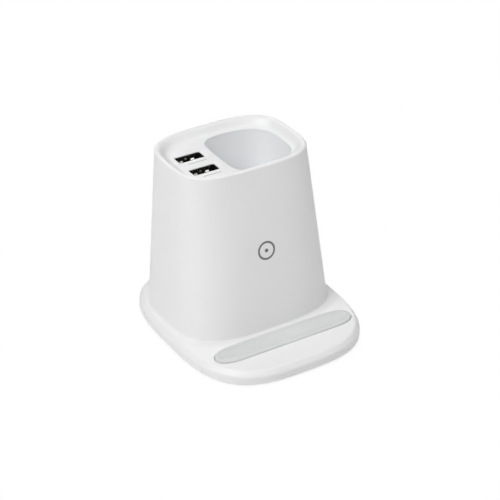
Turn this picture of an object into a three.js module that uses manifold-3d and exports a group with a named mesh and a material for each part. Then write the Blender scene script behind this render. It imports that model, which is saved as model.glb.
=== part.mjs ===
// A desk pen holder that is also a phone stand with a wireless charging coil and two charging ports.
// Millimetres, +Z up. The front, where the phone leans, faces -Y. The origin lies on the table
// surface, under the middle of the base.
import * as THREE from 'three';
import { mergeVertices } from 'three/addons/utils/BufferGeometryUtils.js';
import Module from 'manifold-3d';

const wasm = await Module();
wasm.setup();

// Base: a shallow plate with a near-upright side, a sloping shoulder and a gently falling top
const baseSquareness = 3.17;
const baseThickness = 7.8;
const baseSideHeight = 4.3;
const baseBottomRound = 0.8;
const shoulderInset = 1.95;
const shoulderRound = 0.45;
const baseTopDrop = 1.0;
const sideFlange = 3.7;
const rearFlange = 9.2;
const frontLedge = 29.6;

// Body: a leaning, tapering tower on the base; the front half and the rear half curve differently
const bodyHeight = 80.6;
const sideRun = 7.1;
const frontRun = 14.8;
const rearRun = 2.4;
const bodyFootSquarenessFront = 3.2;
const bodyFootSquarenessRear = 3.0;
const rimSquarenessFront = 3.5;
const rimSquarenessRear = 3.17;
const footFillet = 1.1;
const rimRound = 1.0;

// Walls and joint lines
const housingWall = 2.2;
const rimLandWidth = 1.7;
const rimLandDrop = 0.45;
const neckWall = 2.9;
const neckDepth = 5;
const fitGap = 0.15;
const looseGap = 0.3;
const overrun = 1;

// Top insert: a sloping band inside the rim, the deck that holds the ports, and the pen well
const insertFlangeDepth = 2.4;
const insertLand = 0.35;
const bandWidth = 6.37;
const deckDrop = 4.2;
const deckFillet = 1.7;
const deckThickness = 1.8;
const wellLength = 34.93;
const wellDepth = 38.56;
const wellCornerSquareness = 4.4;
const wellUnderGap = 2.2;
const wellWall = 1.8;
const wellDraft = 1.1;
const wellFloorRadius = 3;
const wellEdgeRound = 0.6;

// Bottom cover, feet and the bosses that the cover screws go into
const coverThickness = 2.0;
const footProud = 0.8;
const footDiameter = 10;
const footRecess = 1.0;
const footSideInset = 17.65;
const footFrontInset = 16.65;
const footRearInset = 15.65;
const bossDiameter = 7.6;
const bossSideInset = 7.75;
const bossFrontInset = 16.05;
const bossRearInset = 15.45;
const bossHeight = 13;

// Grip pad and the shallow recess that it lies in
const ledgeSideGap = 7.85;
const ledgeDepth = 12.6;
const ledgeWallGap = 2.95;
const ledgeSquareness = 9.9;
const ledgeRecess = 2.0;
const ledgeBackingWall = 1.5;
const padMargin = 0.3;
const padRise = 0.3;
const padEdgeRound = 0.5;

// Screws: one large and one small kind
const coverScrewThread = 2.9;
const coverScrewLength = 9;
const coverScrewHead = 5.4;
const coverScrewHeadHeight = 1.2;
const boardScrewThread = 1.9;
const boardScrewLength = 5;
const boardScrewHead = 3.6;
const boardScrewHeadHeight = 1.1;
const crossSlotWidthShare = 0.16;
const crossSlotLengthShare = 0.62;
const crossSlotDepthShare = 0.6;

// Ports: upright sockets on a board under the deck, between the band and the pen well
const portEdgeGap = 3.43;
const wellPortGap = 5.5;
const portMiddleShift = 1.075;
const portPitch = 14.45;
const shellWidth = 13.1;
const shellDepth = 5.72;
const shellWall = 0.3;
const shellLength = 13.8;
const shellSetback = 0.3;
const shellCorner = 0.7;
const portGap = 0.1;
const springWidth = 2.4;
const springLength = 6.2;
const springBulge = 0.75;
const springSetback = 0.4;
const springSideInset = 3.6;
const tongueSideGap = 0.7;
const tongueThickness = 1.84;
const tongueLength = 8.3;
const tongueForward = 0.75;
const socketBlockHeight = 4.4;
const contactWidth = 1.1;
const contactThickness = 0.25;
const contactLength = 7.2;
const contactPitch = 2.35;
const contactCount = 4;

// Boards, and the posts that they are screwed to
const boardThickness = 1.6;
const portBoardWidth = 19;
const portBoardShift = 0.4;
const portBoardMargin = 4.25;
const portBoardCorner = 5;
const portPostGap = 2.165;
const postDiameter = 5;
const mainBoardWidth = 44;
const mainBoardFrontGap = 20.05;
const mainBoardRearGap = 3.25;
const mainBoardCornerCut = 10;
const mainBoardRise = 1.0;
const mainPostSideInset = 4;
const mainPostFrontInset = 4.5;
const mainPostRearInset = 14.2;

// Power inlet at the back, on the main board
const inletWidth = 8.94;
const inletHeight = 3.26;
const inletWall = 0.3;
const inletLength = 9.2;
const inletSetback = 0.6;
const inletBlockLength = 3.2;
const inletTongueWidth = 6.7;
const inletTongueThickness = 0.7;
const inletTongueSetback = 1.2;

// Ribbon between the two boards, with a plug on each
const portPlugShift = 3;
const mainPlugInset = 6.5;
const ribbonWidth = 12;
const ribbonThickness = 0.5;
const ribbonBow = 3.5;
const plugWidth = 5;
const plugDepth = 14.5;
const plugHeight = 3.8;

// Electronics on the main board
const powerChipGap = 2.9;
const powerChipWidth = 3.9;
const powerChipDepth = 4.9;
const powerChipHeight = 1.4;
const chipLegLength = 1.0;
const chipLegWidth = 0.4;
const chipLegHeight = 0.5;
const chipLegPitch = 1.27;
const chipLegsPerSide = 4;
const coilChipFrontInset = 12;
const coilChipWidth = 7;
const coilChipHeight = 0.9;
const inductorWidth = 7;
const inductorHeight = 4;
const inductorCorner = 1.3;
const inductorInletGap = 0.53;
const inductorRearInset = 10.7;
const capacitorDiameter = 6.3;
const capacitorHeight = 5.8;
const capacitorGroove = 0.3;
const capacitorGrooveHeight = 1.5;
const capacitorSideInset = 9;
const capacitorRearInset = 19.2;
const capacitorPitch = 8.5;
const capacitorCount = 3;

// Charging coil behind the leaning front wall
const coilRise = 4.05;
const coilWallGap = 0.7;
const coilInnerRadius = 10.5;
const coilPitch = 1.25;
const coilTurns = 9;
const coilWireWidth = 0.8;
const coilWireHeight = 1.0;
const ferriteMargin = 2.25;
const ferriteThickness = 0.7;
const carrierThickness = 1.0;
const carrierRimHeight = 0.8;
const carrierRimWidth = 1.3;
const carrierRimGap = 0.5;
const carrierEarRadius = 4.2;
const carrierPostGap = 0.7;
const leadRadius = 0.5;
const leadSpacing = 5;
const leadLandSetback = 2;

// Number of straight sides or steps on curved forms; these are counts, not lengths
const bodySides = 60;
const wellSides = 44;
const ledgeSides = 40;
const discSides = 32;
const roundSides = 16;
const holeSides = 10;
const screwSides = 8;
const wireSides = 6;
const leadSteps = 14;
const ribbonSteps = 12;
const roundingSteps = 2;
const coilStepsPerTurn = 16;
const halvingSteps = 40;

// Outlines that follow from the sizes above: the deck holds a port and the well side by side, the
// rim goes round them, the body widens down to its foot, and the base reaches out past the foot
const rimWidth = 2 * bandWidth + portEdgeGap + shellWidth + wellPortGap + wellLength;
const rimDepth = 2 * bandWidth + wellDepth;
const bodyFootWidth = rimWidth + 2 * sideRun;
const bodyFootDepth = rimDepth + frontRun + rearRun;
const baseWidth = bodyFootWidth + 2 * sideFlange;
const baseDepth = bodyFootDepth + rearFlange + frontLedge;
const rearEdgeY = baseDepth / 2 - rearFlange;
const footFrontEdgeY = rearEdgeY - bodyFootDepth;
const bodyFootCentreY = (rearEdgeY + footFrontEdgeY) / 2;
const rimFrontEdgeY = footFrontEdgeY + frontRun;
const rimCentreY = rimFrontEdgeY + rimDepth / 2;
const portX = -rimWidth / 2 + bandWidth + portEdgeGap + shellWidth / 2;
const wellLeftX = portX + shellWidth / 2 + wellPortGap;
const wellMiddleX = wellLeftX + wellLength / 2;
const ledgeWidth = baseWidth - 2 * ledgeSideGap;
const ledgeY = footFrontEdgeY - ledgeWallGap - ledgeDepth / 2;

// Heights that follow from the sizes above
const baseBottomZ = footProud;
const baseTopZ = baseBottomZ + baseThickness;
const baseSideTopZ = baseBottomZ + baseSideHeight;
const baseCreaseZ = baseTopZ - baseTopDrop;
const rimTopZ = baseTopZ + bodyHeight;
const rimShoulderZ = rimTopZ - rimRound;
const deckZ = rimTopZ - deckDrop;
const deckUndersideZ = deckZ - deckThickness;
const landZ = rimTopZ - rimLandDrop;
const insertSeatZ = landZ - insertFlangeDepth;
const coverTopZ = baseBottomZ + coverThickness;
const mainBoardZ = baseTopZ + mainBoardRise;
const mainBoardTopZ = mainBoardZ + boardThickness;
const wellFloorZ = mainBoardTopZ + capacitorHeight + wellUnderGap + wellWall;
const shellTopZ = deckZ - shellSetback;
const portBoardTopZ = shellTopZ - shellLength;
const ledgeFloorZ = baseTopZ - ledgeRecess;
const tongueWidth = shellWidth - 2 * (shellWall + tongueSideGap);
const springX = shellWidth / 2 - springSideInset;

// A closed ring of points: a squared ellipse whose front and rear halves have their own squareness
function squaredRing(halfWidth, halfDepth, centreY, z, front, rear) {
  const points = [];
  for (let i = 0; i < bodySides; i++) {
    const angle = (2 * Math.PI * i) / bodySides;
    const c = Math.cos(angle);
    const s = Math.sin(angle);
    const power = s < 0 ? front : rear;
    const sum = Math.abs(c / halfWidth) ** power + Math.abs(s / halfDepth) ** power;
    const r = sum ** (-1 / power);
    points.push(new THREE.Vector3(r * c, centreY + r * s, z));
  }
  return points;
}

// A ring of points on the edge of a region, each found by halving a ray from a centre within it
function rayRing(sides, centreX, centreY, z, inside) {
  const points = [];
  for (let i = 0; i < sides; i++) {
    const angle = (2 * Math.PI * i) / sides;
    const c = Math.cos(angle);
    const s = Math.sin(angle);
    let low = 0;
    let high = baseDepth;
    for (let step = 0; step < halvingSteps; step++) {
      const r = (low + high) / 2;
      if (inside(centreX + r * c, centreY + r * s)) low = r;
      else high = r;
    }
    points.push(new THREE.Vector3(centreX + low * c, centreY + low * s, z));
  }
  return points;
}

// The base's outline is a squared ellipse about the origin. Its points lie on rays from the body's
// middle, so that they line up with the body's own.
function baseRing(inset, z) {
  const halfWidth = baseWidth / 2 - inset;
  const halfDepth = baseDepth / 2 - inset;
  return rayRing(bodySides, 0, bodyFootCentreY, z, (x, y) => (
    Math.abs(x / halfWidth) ** baseSquareness + Math.abs(y / halfDepth) ** baseSquareness < 1));
}

// The body's section at a height, straight between the outline at its foot and the one at its rim
function bodyRing(inset, z) {
  const foot = squaredRing(bodyFootWidth / 2 - inset, bodyFootDepth / 2 - inset, bodyFootCentreY, z,
    bodyFootSquarenessFront, bodyFootSquarenessRear);
  const rim = squaredRing(rimWidth / 2 - inset, rimDepth / 2 - inset, rimCentreY, z,
    rimSquarenessFront, rimSquarenessRear);
  const share = (z - baseTopZ) / (rimShoulderZ - baseTopZ);
  return foot.map((p, i) => p.clone().lerp(rim[i], share));
}

// The rim's outline carried straight up, for what sits inside the rim
function rimRing(inset, z) {
  return squaredRing(rimWidth / 2 - inset, rimDepth / 2 - inset, rimCentreY, z,
    rimSquarenessFront, rimSquarenessRear);
}

// The pen well's outline: the inner edge of the band on three sides, and a straight wall on the
// left that runs into it with wide round corners
function wellRing(inset, z) {
  const halfWidth = rimWidth / 2 - bandWidth - inset;
  const halfDepth = rimDepth / 2 - bandWidth - inset;
  const reach = wellMiddleX - wellLeftX - inset;
  return rayRing(wellSides, wellMiddleX, rimCentreY, z, (x, y) => {
    const power = y < rimCentreY ? rimSquarenessFront : rimSquarenessRear;
    const across = Math.abs(x / halfWidth) ** power;
    const along = Math.abs((y - rimCentreY) / halfDepth) ** power;
    const band = (across + along) ** (1 / power);
    const left = Math.max(0, (wellMiddleX - x) / reach);
    return band ** wellCornerSquareness + left ** wellCornerSquareness < 1;
  });
}

// The ledge's outline: long and narrow, straight in front, with softly rounded ends
function ledgeRing(inset, z) {
  const points = [];
  for (let i = 0; i < ledgeSides; i++) {
    const angle = (2 * Math.PI * i) / ledgeSides;
    const c = Math.cos(angle);
    const x = (ledgeWidth / 2 - inset) * Math.sign(c) * Math.abs(c) ** (2 / ledgeSquareness);
    const y = ledgeY + (ledgeDepth / 2 - inset) * Math.sin(angle);
    points.push(new THREE.Vector3(x, y, z));
  }
  return points;
}

// A closed skin through rings of equally many points, the lowest ring first, with flat ends
function loft(rings) {
  const sides = rings[0].length;
  const positions = [];
  const index = [];
  for (const ring of rings) {
    for (const p of ring) positions.push(p.x, p.y, p.z);
  }
  for (let k = 0; k + 1 < rings.length; k++) {
    for (let i = 0; i < sides; i++) {
      const a = k * sides + i;
      const b = k * sides + ((i + 1) % sides);
      index.push(a, b, b + sides, a, b + sides, a + sides);
    }
  }
  for (const [ring, start, flip] of [[rings[0], 0, true],
    [rings[rings.length - 1], (rings.length - 1) * sides, false]]) {
    const middle = ring.reduce((sum, p) => sum.add(p), new THREE.Vector3()).divideScalar(sides);
    const centre = positions.length / 3;
    positions.push(middle.x, middle.y, middle.z);
    for (let i = 0; i < sides; i++) {
      const a = start + i;
      const b = start + ((i + 1) % sides);
      if (flip) index.push(centre, b, a);
      else index.push(centre, a, b);
    }
  }
  const geometry = new THREE.BufferGeometry();
  geometry.setAttribute('position', new THREE.Float32BufferAttribute(positions, 3));
  geometry.setIndex(index);
  return geometry;
}

// Three.js geometry to a solid that can be cut and joined, and back
function solid(geometry) {
  const bare = geometry.clone();
  bare.deleteAttribute('normal');
  bare.deleteAttribute('uv');
  const merged = mergeVertices(bare);
  return new wasm.Manifold(new wasm.Mesh({
    numProp: 3,
    vertProperties: merged.attributes.position.array,
    triVerts: new Uint32Array(merged.index.array),
  }));
}

function geometryOf(body) {
  const mesh = body.getMesh();
  const geometry = new THREE.BufferGeometry();
  geometry.setAttribute('position', new THREE.BufferAttribute(mesh.vertProperties, 3));
  geometry.setIndex(new THREE.BufferAttribute(mesh.triVerts, 1));
  return geometry;
}

function joined(bodies) {
  return bodies.reduce((sum, body) => sum.add(body));
}

// An upright cylinder that stands on z
function pillar(diameter, x, y, z, height, sides = roundSides) {
  const geometry = new THREE.CylinderGeometry(diameter / 2, diameter / 2, height, sides);
  geometry.rotateX(Math.PI / 2);
  geometry.translate(x, y, z + height / 2);
  return geometry;
}

// A block given by its middle in X and Y, and the height that it stands on
function block(width, depth, height, x, y, z) {
  const geometry = new THREE.BoxGeometry(width, depth, height);
  geometry.translate(x, y, z + height / 2);
  return geometry;
}

function roundedRectangle(width, height, radius) {
  const w = width / 2;
  const h = height / 2;
  const shape = new THREE.Shape();
  shape.moveTo(-w + radius, -h);
  shape.lineTo(w - radius, -h);
  shape.absarc(w - radius, -h + radius, radius, -Math.PI / 2, 0);
  shape.lineTo(w, h - radius);
  shape.absarc(w - radius, h - radius, radius, 0, Math.PI / 2);
  shape.lineTo(-w + radius, h);
  shape.absarc(-w + radius, h - radius, radius, Math.PI / 2, Math.PI);
  shape.lineTo(-w, -h + radius);
  shape.absarc(-w + radius, -h + radius, radius, Math.PI, 1.5 * Math.PI);
  return shape;
}

function plate(shape, thickness, x, y, z, cornerSteps = 1) {
  const geometry = new THREE.ExtrudeGeometry(shape, {
    depth: thickness,
    bevelEnabled: false,
    curveSegments: cornerSteps,
  });
  geometry.translate(x, y, z);
  return geometry;
}

// Materials
const whiteShell = new THREE.MeshStandardMaterial({ color: 0xe8e8e8, roughness: 0.45 });
const silicone = new THREE.MeshStandardMaterial({ color: 0xd4d6d5, roughness: 0.7 });
const rubber = new THREE.MeshStandardMaterial({ color: 0x3a3a3a, roughness: 0.85 });
const steel = new THREE.MeshStandardMaterial({ color: 0xb8babc, roughness: 0.35, metalness: 1 });
const darkSteel = new THREE.MeshStandardMaterial({ color: 0x2b2b2c, roughness: 0.4, metalness: 1 });
const blackPlastic = new THREE.MeshStandardMaterial({ color: 0x141414, roughness: 0.5 });
const gold = new THREE.MeshStandardMaterial({ color: 0xd6b25e, roughness: 0.3, metalness: 1 });
const greenBoard = new THREE.MeshStandardMaterial({ color: 0x1f5a3a, roughness: 0.5 });
const copper = new THREE.MeshStandardMaterial({ color: 0xb4683a, roughness: 0.4, metalness: 1 });
const ferrite = new THREE.MeshStandardMaterial({ color: 0x2e2f33, roughness: 0.6 });
const whiteNylon = new THREE.MeshStandardMaterial({ color: 0xf0eee6, roughness: 0.6 });
const ribbonGrey = new THREE.MeshStandardMaterial({ color: 0x9a9da2, roughness: 0.5 });
const canMetal = new THREE.MeshStandardMaterial({ color: 0xa9acaf, roughness: 0.4, metalness: 1 });
const redWire = new THREE.MeshStandardMaterial({ color: 0xa83a30, roughness: 0.5 });
const whiteWire = new THREE.MeshStandardMaterial({ color: 0xe6e4de, roughness: 0.5 });

const group = new THREE.Group();

function add(name, geometry, material, parent = group) {
  const mesh = new THREE.Mesh(geometry, material);
  mesh.name = name;
  parent.add(mesh);
  return mesh;
}

// A profile of [inset, height, corner radius] points with its corners rounded by short curves
function roundedProfile(profile) {
  const points = [];
  profile.forEach(([inset, z, radius = 0], i) => {
    const corner = new THREE.Vector2(inset, z);
    if (radius === 0) {
      points.push(corner);
      return;
    }
    const towards = (j) => new THREE.Vector2(profile[j][0], profile[j][1]).sub(corner).normalize();
    const start = towards(i - 1).multiplyScalar(radius).add(corner);
    const end = towards(i + 1).multiplyScalar(radius).add(corner);
    const curve = new THREE.QuadraticBezierCurve(start, corner, end);
    points.push(...curve.getPoints(roundingSteps));
  });
  return points;
}

// The frame that the charging parts are built in: it lies on the inner face of the leaning front
// wall, with its own X across, Y up the wall and Z pointing out through the wall at the phone
const frontRise = rimShoulderZ - baseTopZ;
const frontLean = Math.atan2(frontRun, frontRise);
const coilHeight = (baseTopZ + portBoardTopZ - boardThickness) / 2 + coilRise;
const coilWallY = footFrontEdgeY + (frontRun * (coilHeight - baseTopZ)) / frontRise + housingWall;
const coilFrame = new THREE.Group();
coilFrame.position.set(0, coilWallY, coilHeight);
coilFrame.rotation.x = Math.PI / 2 - frontLean;
coilFrame.updateMatrix();
group.add(coilFrame);

// Sizes of the charging parts: the ferrite plate reaches past the coil, and the carrier's rim goes
// round the plate
const coilOuterRadius = coilInnerRadius + coilTurns * coilPitch;
const ferriteRadius = coilOuterRadius + ferriteMargin;
const carrierRadius = ferriteRadius + carrierRimGap + carrierRimWidth;
const earReach = (carrierRadius + carrierPostGap + postDiameter / 2) * Math.SQRT1_2;
const carrierEars = [[-1, 1], [-1, -1], [1, -1]].map(([x, y]) => [x * earReach, y * earReach]);

// How far the wall's inner face has curved back at the side of the carrier
const coilHeightShare = (coilHeight - baseTopZ) / frontRise;
const wallHalfWidth = bodyFootWidth / 2 - sideRun * coilHeightShare - housingWall;
const wallHalfDepth = (bodyFootDepth - (frontRun + rearRun) * coilHeightShare) / 2 - housingWall;
const wallCurve = wallHalfDepth
  * (1 - (1 - (carrierRadius / wallHalfWidth) ** rimSquarenessFront) ** (1 / rimSquarenessFront));

// How deep behind the wall's flat middle each charging part lies: the carrier's rim clears the
// wall's curve, and the inner lead passes between the wall and the coil
const rimStandoff = wallCurve + coilWallGap + carrierRimHeight - 2 * looseGap - ferriteThickness
  - coilWireHeight;
const leadStandoff = 2 * (leadRadius + looseGap);
const coilStandoff = Math.max(rimStandoff, leadStandoff);
const coilBackDepth = coilStandoff + coilWireHeight;
const ferriteFrontDepth = coilBackDepth + looseGap;
const ferriteBackDepth = ferriteFrontDepth + ferriteThickness;
const coilPostDepth = ferriteBackDepth;
const carrierFrontDepth = coilPostDepth + looseGap;
const carrierBackDepth = carrierFrontDepth + carrierThickness;

// Housing: body and base in one moulding, open below and at the top
const bossX = bodyFootWidth / 2 - bossSideInset;
const bossPlaces = [-bossX, bossX].flatMap((x) => (
  [footFrontEdgeY + bossFrontInset, rearEdgeY - bossRearInset].map((y) => [x, y])));
const coverPilotDiameter = coverScrewThread + 2 * fitGap;
const boardPilotDiameter = boardScrewThread + 2 * fitGap;
const inletZ = mainBoardTopZ + inletHeight / 2;

function housingSkin() {
  const side = roundedProfile([
    [baseBottomRound, baseBottomZ],
    [0, baseBottomZ + baseBottomRound],
    [0, baseSideTopZ, shoulderRound],
    [shoulderInset, baseCreaseZ, shoulderRound],
    [shoulderInset + shoulderRound, baseCreaseZ + shoulderRound / 4],
  ]).slice(0, -1);
  const rings = side.map((p) => baseRing(p.x, p.y));
  for (let i = 0; i <= roundingSteps; i++) {
    const angle = (Math.PI / 2) * (i / roundingSteps);
    const outward = footFillet * (1 - Math.sin(angle));
    rings.push(bodyRing(-outward, baseTopZ + footFillet * (1 - Math.cos(angle))));
  }
  for (let i = 0; i <= roundingSteps; i++) {
    const angle = (Math.PI / 2) * (i / roundingSteps);
    const inward = rimRound * (1 - Math.cos(angle));
    rings.push(rimRing(inward, rimShoulderZ + rimRound * Math.sin(angle)));
  }
  return solid(loft(rings));
}

function housingCavity() {
  const beadInnerRound = rimLandWidth - rimRound;
  const neckZ = insertSeatZ - neckDepth;
  return solid(loft([
    baseRing(housingWall, baseBottomZ - overrun),
    baseRing(housingWall, baseCreaseZ - housingWall),
    bodyRing(housingWall, baseTopZ - housingWall),
    bodyRing(housingWall, neckZ - (neckWall - housingWall)),
    bodyRing(neckWall, neckZ),
    rimRing(neckWall, insertSeatZ),
    rimRing(rimLandWidth, insertSeatZ),
    rimRing(rimLandWidth, landZ),
    rimRing(rimRound + beadInnerRound / 3, rimTopZ - rimLandDrop / 4),
    rimRing(rimRound, rimTopZ),
    rimRing(rimRound, rimTopZ + overrun),
  ]));
}

function coilPosts() {
  const length = coilPostDepth + housingWall / 2;
  return carrierEars.map(([x, y]) => {
    const post = pillar(postDiameter, x, y, -coilPostDepth, length, holeSides);
    post.applyMatrix4(coilFrame.matrix);
    return solid(post);
  });
}

function coilPilotHoles() {
  return carrierEars.map(([x, y]) => {
    const depth = boardScrewLength - carrierThickness - looseGap;
    const hole = pillar(boardPilotDiameter, x, y, -coilPostDepth - overrun, depth + overrun,
      holeSides);
    hole.applyMatrix4(coilFrame.matrix);
    return solid(hole);
  });
}

function housing() {
  const bosses = bossPlaces.map(([x, y]) => (
    solid(pillar(bossDiameter, x, y, coverTopZ, bossHeight))));
  const ledgeBacking = solid(loft([
    ledgeRing(-ledgeBackingWall, ledgeFloorZ - ledgeBackingWall),
    ledgeRing(-ledgeBackingWall, baseTopZ),
  ]));
  const inside = joined([...bosses, ...coilPosts(), ledgeBacking]);
  const shell = housingSkin().subtract(housingCavity().subtract(inside));
  const recess = solid(loft([ledgeRing(0, ledgeFloorZ), ledgeRing(0, baseTopZ + overrun)]));
  const pilotHoles = bossPlaces.map(([x, y]) => (
    solid(pillar(coverPilotDiameter, x, y, coverTopZ - overrun, coverScrewLength + overrun,
      holeSides))));
  const slot = roundedRectangle(inletWidth + 2 * looseGap, inletHeight + 2 * looseGap,
    inletHeight / 2);
  const inletSlot = plate(slot, 2 * housingWall + overrun, 0, 0, 0, roundingSteps);
  inletSlot.rotateX(Math.PI / 2);
  inletSlot.translate(0, rearEdgeY + overrun, inletZ);
  const cuts = joined([recess, solid(inletSlot), ...pilotHoles, ...coilPilotHoles()]);
  return geometryOf(shell.subtract(cuts));
}

add('housing', housing(), whiteShell);

// Top insert: the band inside the rim, the deck and the pen well in one moulding. It drops in from
// above and rests on the ledge inside the housing's neck.
const portBoardY = rimCentreY - portMiddleShift;
const portPlaces = [portBoardY + portPitch / 2, portBoardY - portPitch / 2];
const portPostReach = (portPitch + shellDepth + postDiameter) / 2 + portPostGap;
const portBoardPosts = [portBoardY - portPostReach, portBoardY + portPostReach];

function wellTube() {
  return solid(loft([
    wellRing(wellDraft - wellWall + wellFloorRadius / 2, wellFloorZ - wellWall),
    wellRing(wellDraft - wellWall, wellFloorZ + wellFloorRadius / 2),
    wellRing(-wellWall, deckZ - deckThickness / 2),
  ]));
}

function wellHollow() {
  const rings = [];
  for (let i = 0; i <= roundingSteps; i++) {
    const angle = (Math.PI / 2) * (i / roundingSteps);
    rings.push(wellRing(wellDraft + wellFloorRadius * (1 - Math.sin(angle)),
      wellFloorZ + wellFloorRadius * (1 - Math.cos(angle))));
  }
  for (let i = 0; i <= roundingSteps; i++) {
    const angle = (Math.PI / 2) * (i / roundingSteps);
    rings.push(wellRing(-wellEdgeRound * (1 - Math.cos(angle)),
      deckZ - wellEdgeRound * (1 - Math.sin(angle))));
  }
  rings.push(wellRing(-wellEdgeRound, deckZ + wellEdgeRound / 2));
  return solid(loft(rings));
}

function topInsert() {
  const outsideInset = rimLandWidth + fitGap;
  const neckInset = neckWall + fitGap;
  const plug = solid(loft([
    rimRing(neckInset, deckUndersideZ),
    rimRing(neckInset, insertSeatZ),
    rimRing(outsideInset, insertSeatZ),
    rimRing(outsideInset, landZ),
  ]));
  const landInset = outsideInset + insertLand;
  const bowl = solid(loft([
    ...roundedProfile([
      [bandWidth + overrun, deckZ],
      [bandWidth - deckFillet / 2, deckZ, deckFillet],
      [landInset, landZ],
    ]).slice(1).map((p) => rimRing(p.x, p.y)),
    rimRing(landInset, rimTopZ + overrun),
  ]));
  const posts = portBoardPosts.map((y) => (
    solid(pillar(postDiameter, portX, y, portBoardTopZ, deckZ - deckThickness / 2 - portBoardTopZ,
      holeSides))));
  const apertures = portPlaces.map((y) => {
    const shape = roundedRectangle(shellWidth + 2 * portGap, shellDepth + 2 * portGap,
      shellCorner + portGap);
    return solid(plate(shape, deckThickness + 2 * overrun, portX, y, deckUndersideZ - overrun));
  });
  const pilotHoles = portBoardPosts.map((y) => (
    solid(pillar(boardPilotDiameter, portX, y, portBoardTopZ - overrun,
      boardScrewLength - boardThickness + fitGap + overrun, holeSides))));
  const body = plug.subtract(bowl).add(joined([wellTube(), ...posts]));
  return geometryOf(body.subtract(joined([wellHollow(), ...apertures, ...pilotHoles])));
}

add('top_insert', topInsert(), whiteShell);

// Bottom cover: a flat plate inside the base's skirt, with recesses for the feet, counterbores for
// the screws and four posts that carry the main board
const footX = baseWidth / 2 - footSideInset;
const footPlaces = [-footX, footX].flatMap((x) => (
  [footFrontInset - baseDepth / 2, baseDepth / 2 - footRearInset].map((y) => [x, y])));
const mainBoardFrontY = footFrontEdgeY + mainBoardFrontGap;
const mainBoardRearY = rearEdgeY - mainBoardRearGap;
const mainPostX = mainBoardWidth / 2 - mainPostSideInset;
const mainPosts = [-mainPostX, mainPostX].flatMap((x) => (
  [mainBoardFrontY + mainPostFrontInset, mainBoardRearY - mainPostRearInset].map((y) => [x, y])));

function bottomCover() {
  const skirtInset = housingWall + fitGap;
  const panel = solid(loft([baseRing(skirtInset, baseBottomZ), baseRing(skirtInset, coverTopZ)]));
  const posts = mainPosts.map(([x, y]) => (
    solid(pillar(postDiameter, x, y, baseBottomZ + coverThickness / 2,
      mainBoardZ - baseBottomZ - coverThickness / 2, holeSides))));
  const below = baseBottomZ - overrun;
  const footRecesses = footPlaces.map(([x, y]) => (
    solid(pillar(footDiameter + 2 * fitGap, x, y, below, footRecess + overrun))));
  const counterbores = bossPlaces.map(([x, y]) => (
    solid(pillar(coverScrewHead + 2 * looseGap, x, y, below, coverScrewHeadHeight + overrun))));
  const screwHoles = bossPlaces.map(([x, y]) => (
    solid(pillar(coverPilotDiameter, x, y, below, coverThickness + 2 * overrun, holeSides))));
  const pilotHoles = mainPosts.map(([x, y]) => (
    solid(pillar(boardPilotDiameter, x, y, mainBoardZ - boardScrewLength,
      boardScrewLength + overrun, holeSides))));
  const cuts = joined([...footRecesses, ...counterbores, ...screwHoles, ...pilotHoles]);
  return geometryOf(panel.add(joined(posts)).subtract(cuts));
}

add('bottom_cover', bottomCover(), whiteShell);

// Rubber feet: short discs with a rounded lower edge, glued into the cover's recesses
function foot() {
  const radius = footDiameter / 2;
  const top = footProud + footRecess;
  const round = footProud / 2;
  return new THREE.LatheGeometry([
    new THREE.Vector2(0, 0),
    new THREE.Vector2(radius - round, 0),
    new THREE.Vector2(radius, round),
    new THREE.Vector2(radius, top),
    new THREE.Vector2(0, top),
  ], roundSides);
}

footPlaces.forEach(([x, y], i) => {
  const mesh = add(`foot_${i + 1}`, foot(), rubber);
  mesh.rotation.x = Math.PI / 2;
  mesh.position.set(x, y, 0);
});

// Screws: a pan head with a crossed slot on a plain shank. The head's seat is at zero and the
// shank points down.
function screw(thread, length, head, headHeight) {
  const body = solid(new THREE.LatheGeometry([
    new THREE.Vector2(0, -length),
    new THREE.Vector2(thread / 2, -length + thread / 2),
    new THREE.Vector2(thread / 2, 0),
    new THREE.Vector2(head / 2, 0),
    new THREE.Vector2(head / 2, headHeight / 2),
    new THREE.Vector2(head / 3, headHeight),
    new THREE.Vector2(0, headHeight),
  ], screwSides).rotateX(Math.PI / 2));
  const slotDepth = headHeight * crossSlotDepthShare;
  const long = head * crossSlotLengthShare;
  const narrow = head * crossSlotWidthShare;
  const floor = headHeight - slotDepth;
  const cross = solid(block(long, narrow, slotDepth + overrun, 0, 0, floor))
    .add(solid(block(narrow, long, slotDepth + overrun, 0, 0, floor)));
  return geometryOf(body.subtract(cross));
}

const coverScrewSeatZ = baseBottomZ + coverScrewHeadHeight;
bossPlaces.forEach(([x, y], i) => {
  const geometry = screw(coverScrewThread, coverScrewLength, coverScrewHead, coverScrewHeadHeight);
  const mesh = add(`cover_screw_${i + 1}`, geometry, steel);
  mesh.rotation.x = Math.PI;
  mesh.position.set(x, y, coverScrewSeatZ);
});

// Grip pad: a strip of silicone glued to the floor of the ledge, with softened upper edges. Its top
// stands a little proud of the base's top and falls towards the front with it.
const baseTopBackY = footFrontEdgeY - footFillet;
const baseTopFrontY = shoulderInset + shoulderRound - baseDepth / 2;
const baseTopSlope = baseTopDrop / (baseTopBackY - baseTopFrontY);

function padRing(inset, drop) {
  const ring = ledgeRing(padMargin + inset, baseTopZ + padRise - drop);
  for (const p of ring) p.z -= (baseTopBackY - p.y) * baseTopSlope;
  return ring;
}

function gripPad() {
  return loft([
    ledgeRing(padMargin, ledgeFloorZ),
    padRing(0, padEdgeRound),
    padRing(padEdgeRound / 4, padEdgeRound / 4),
    padRing(padEdgeRound, 0),
  ]);
}

add('grip_pad', gripPad(), silicone);

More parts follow.
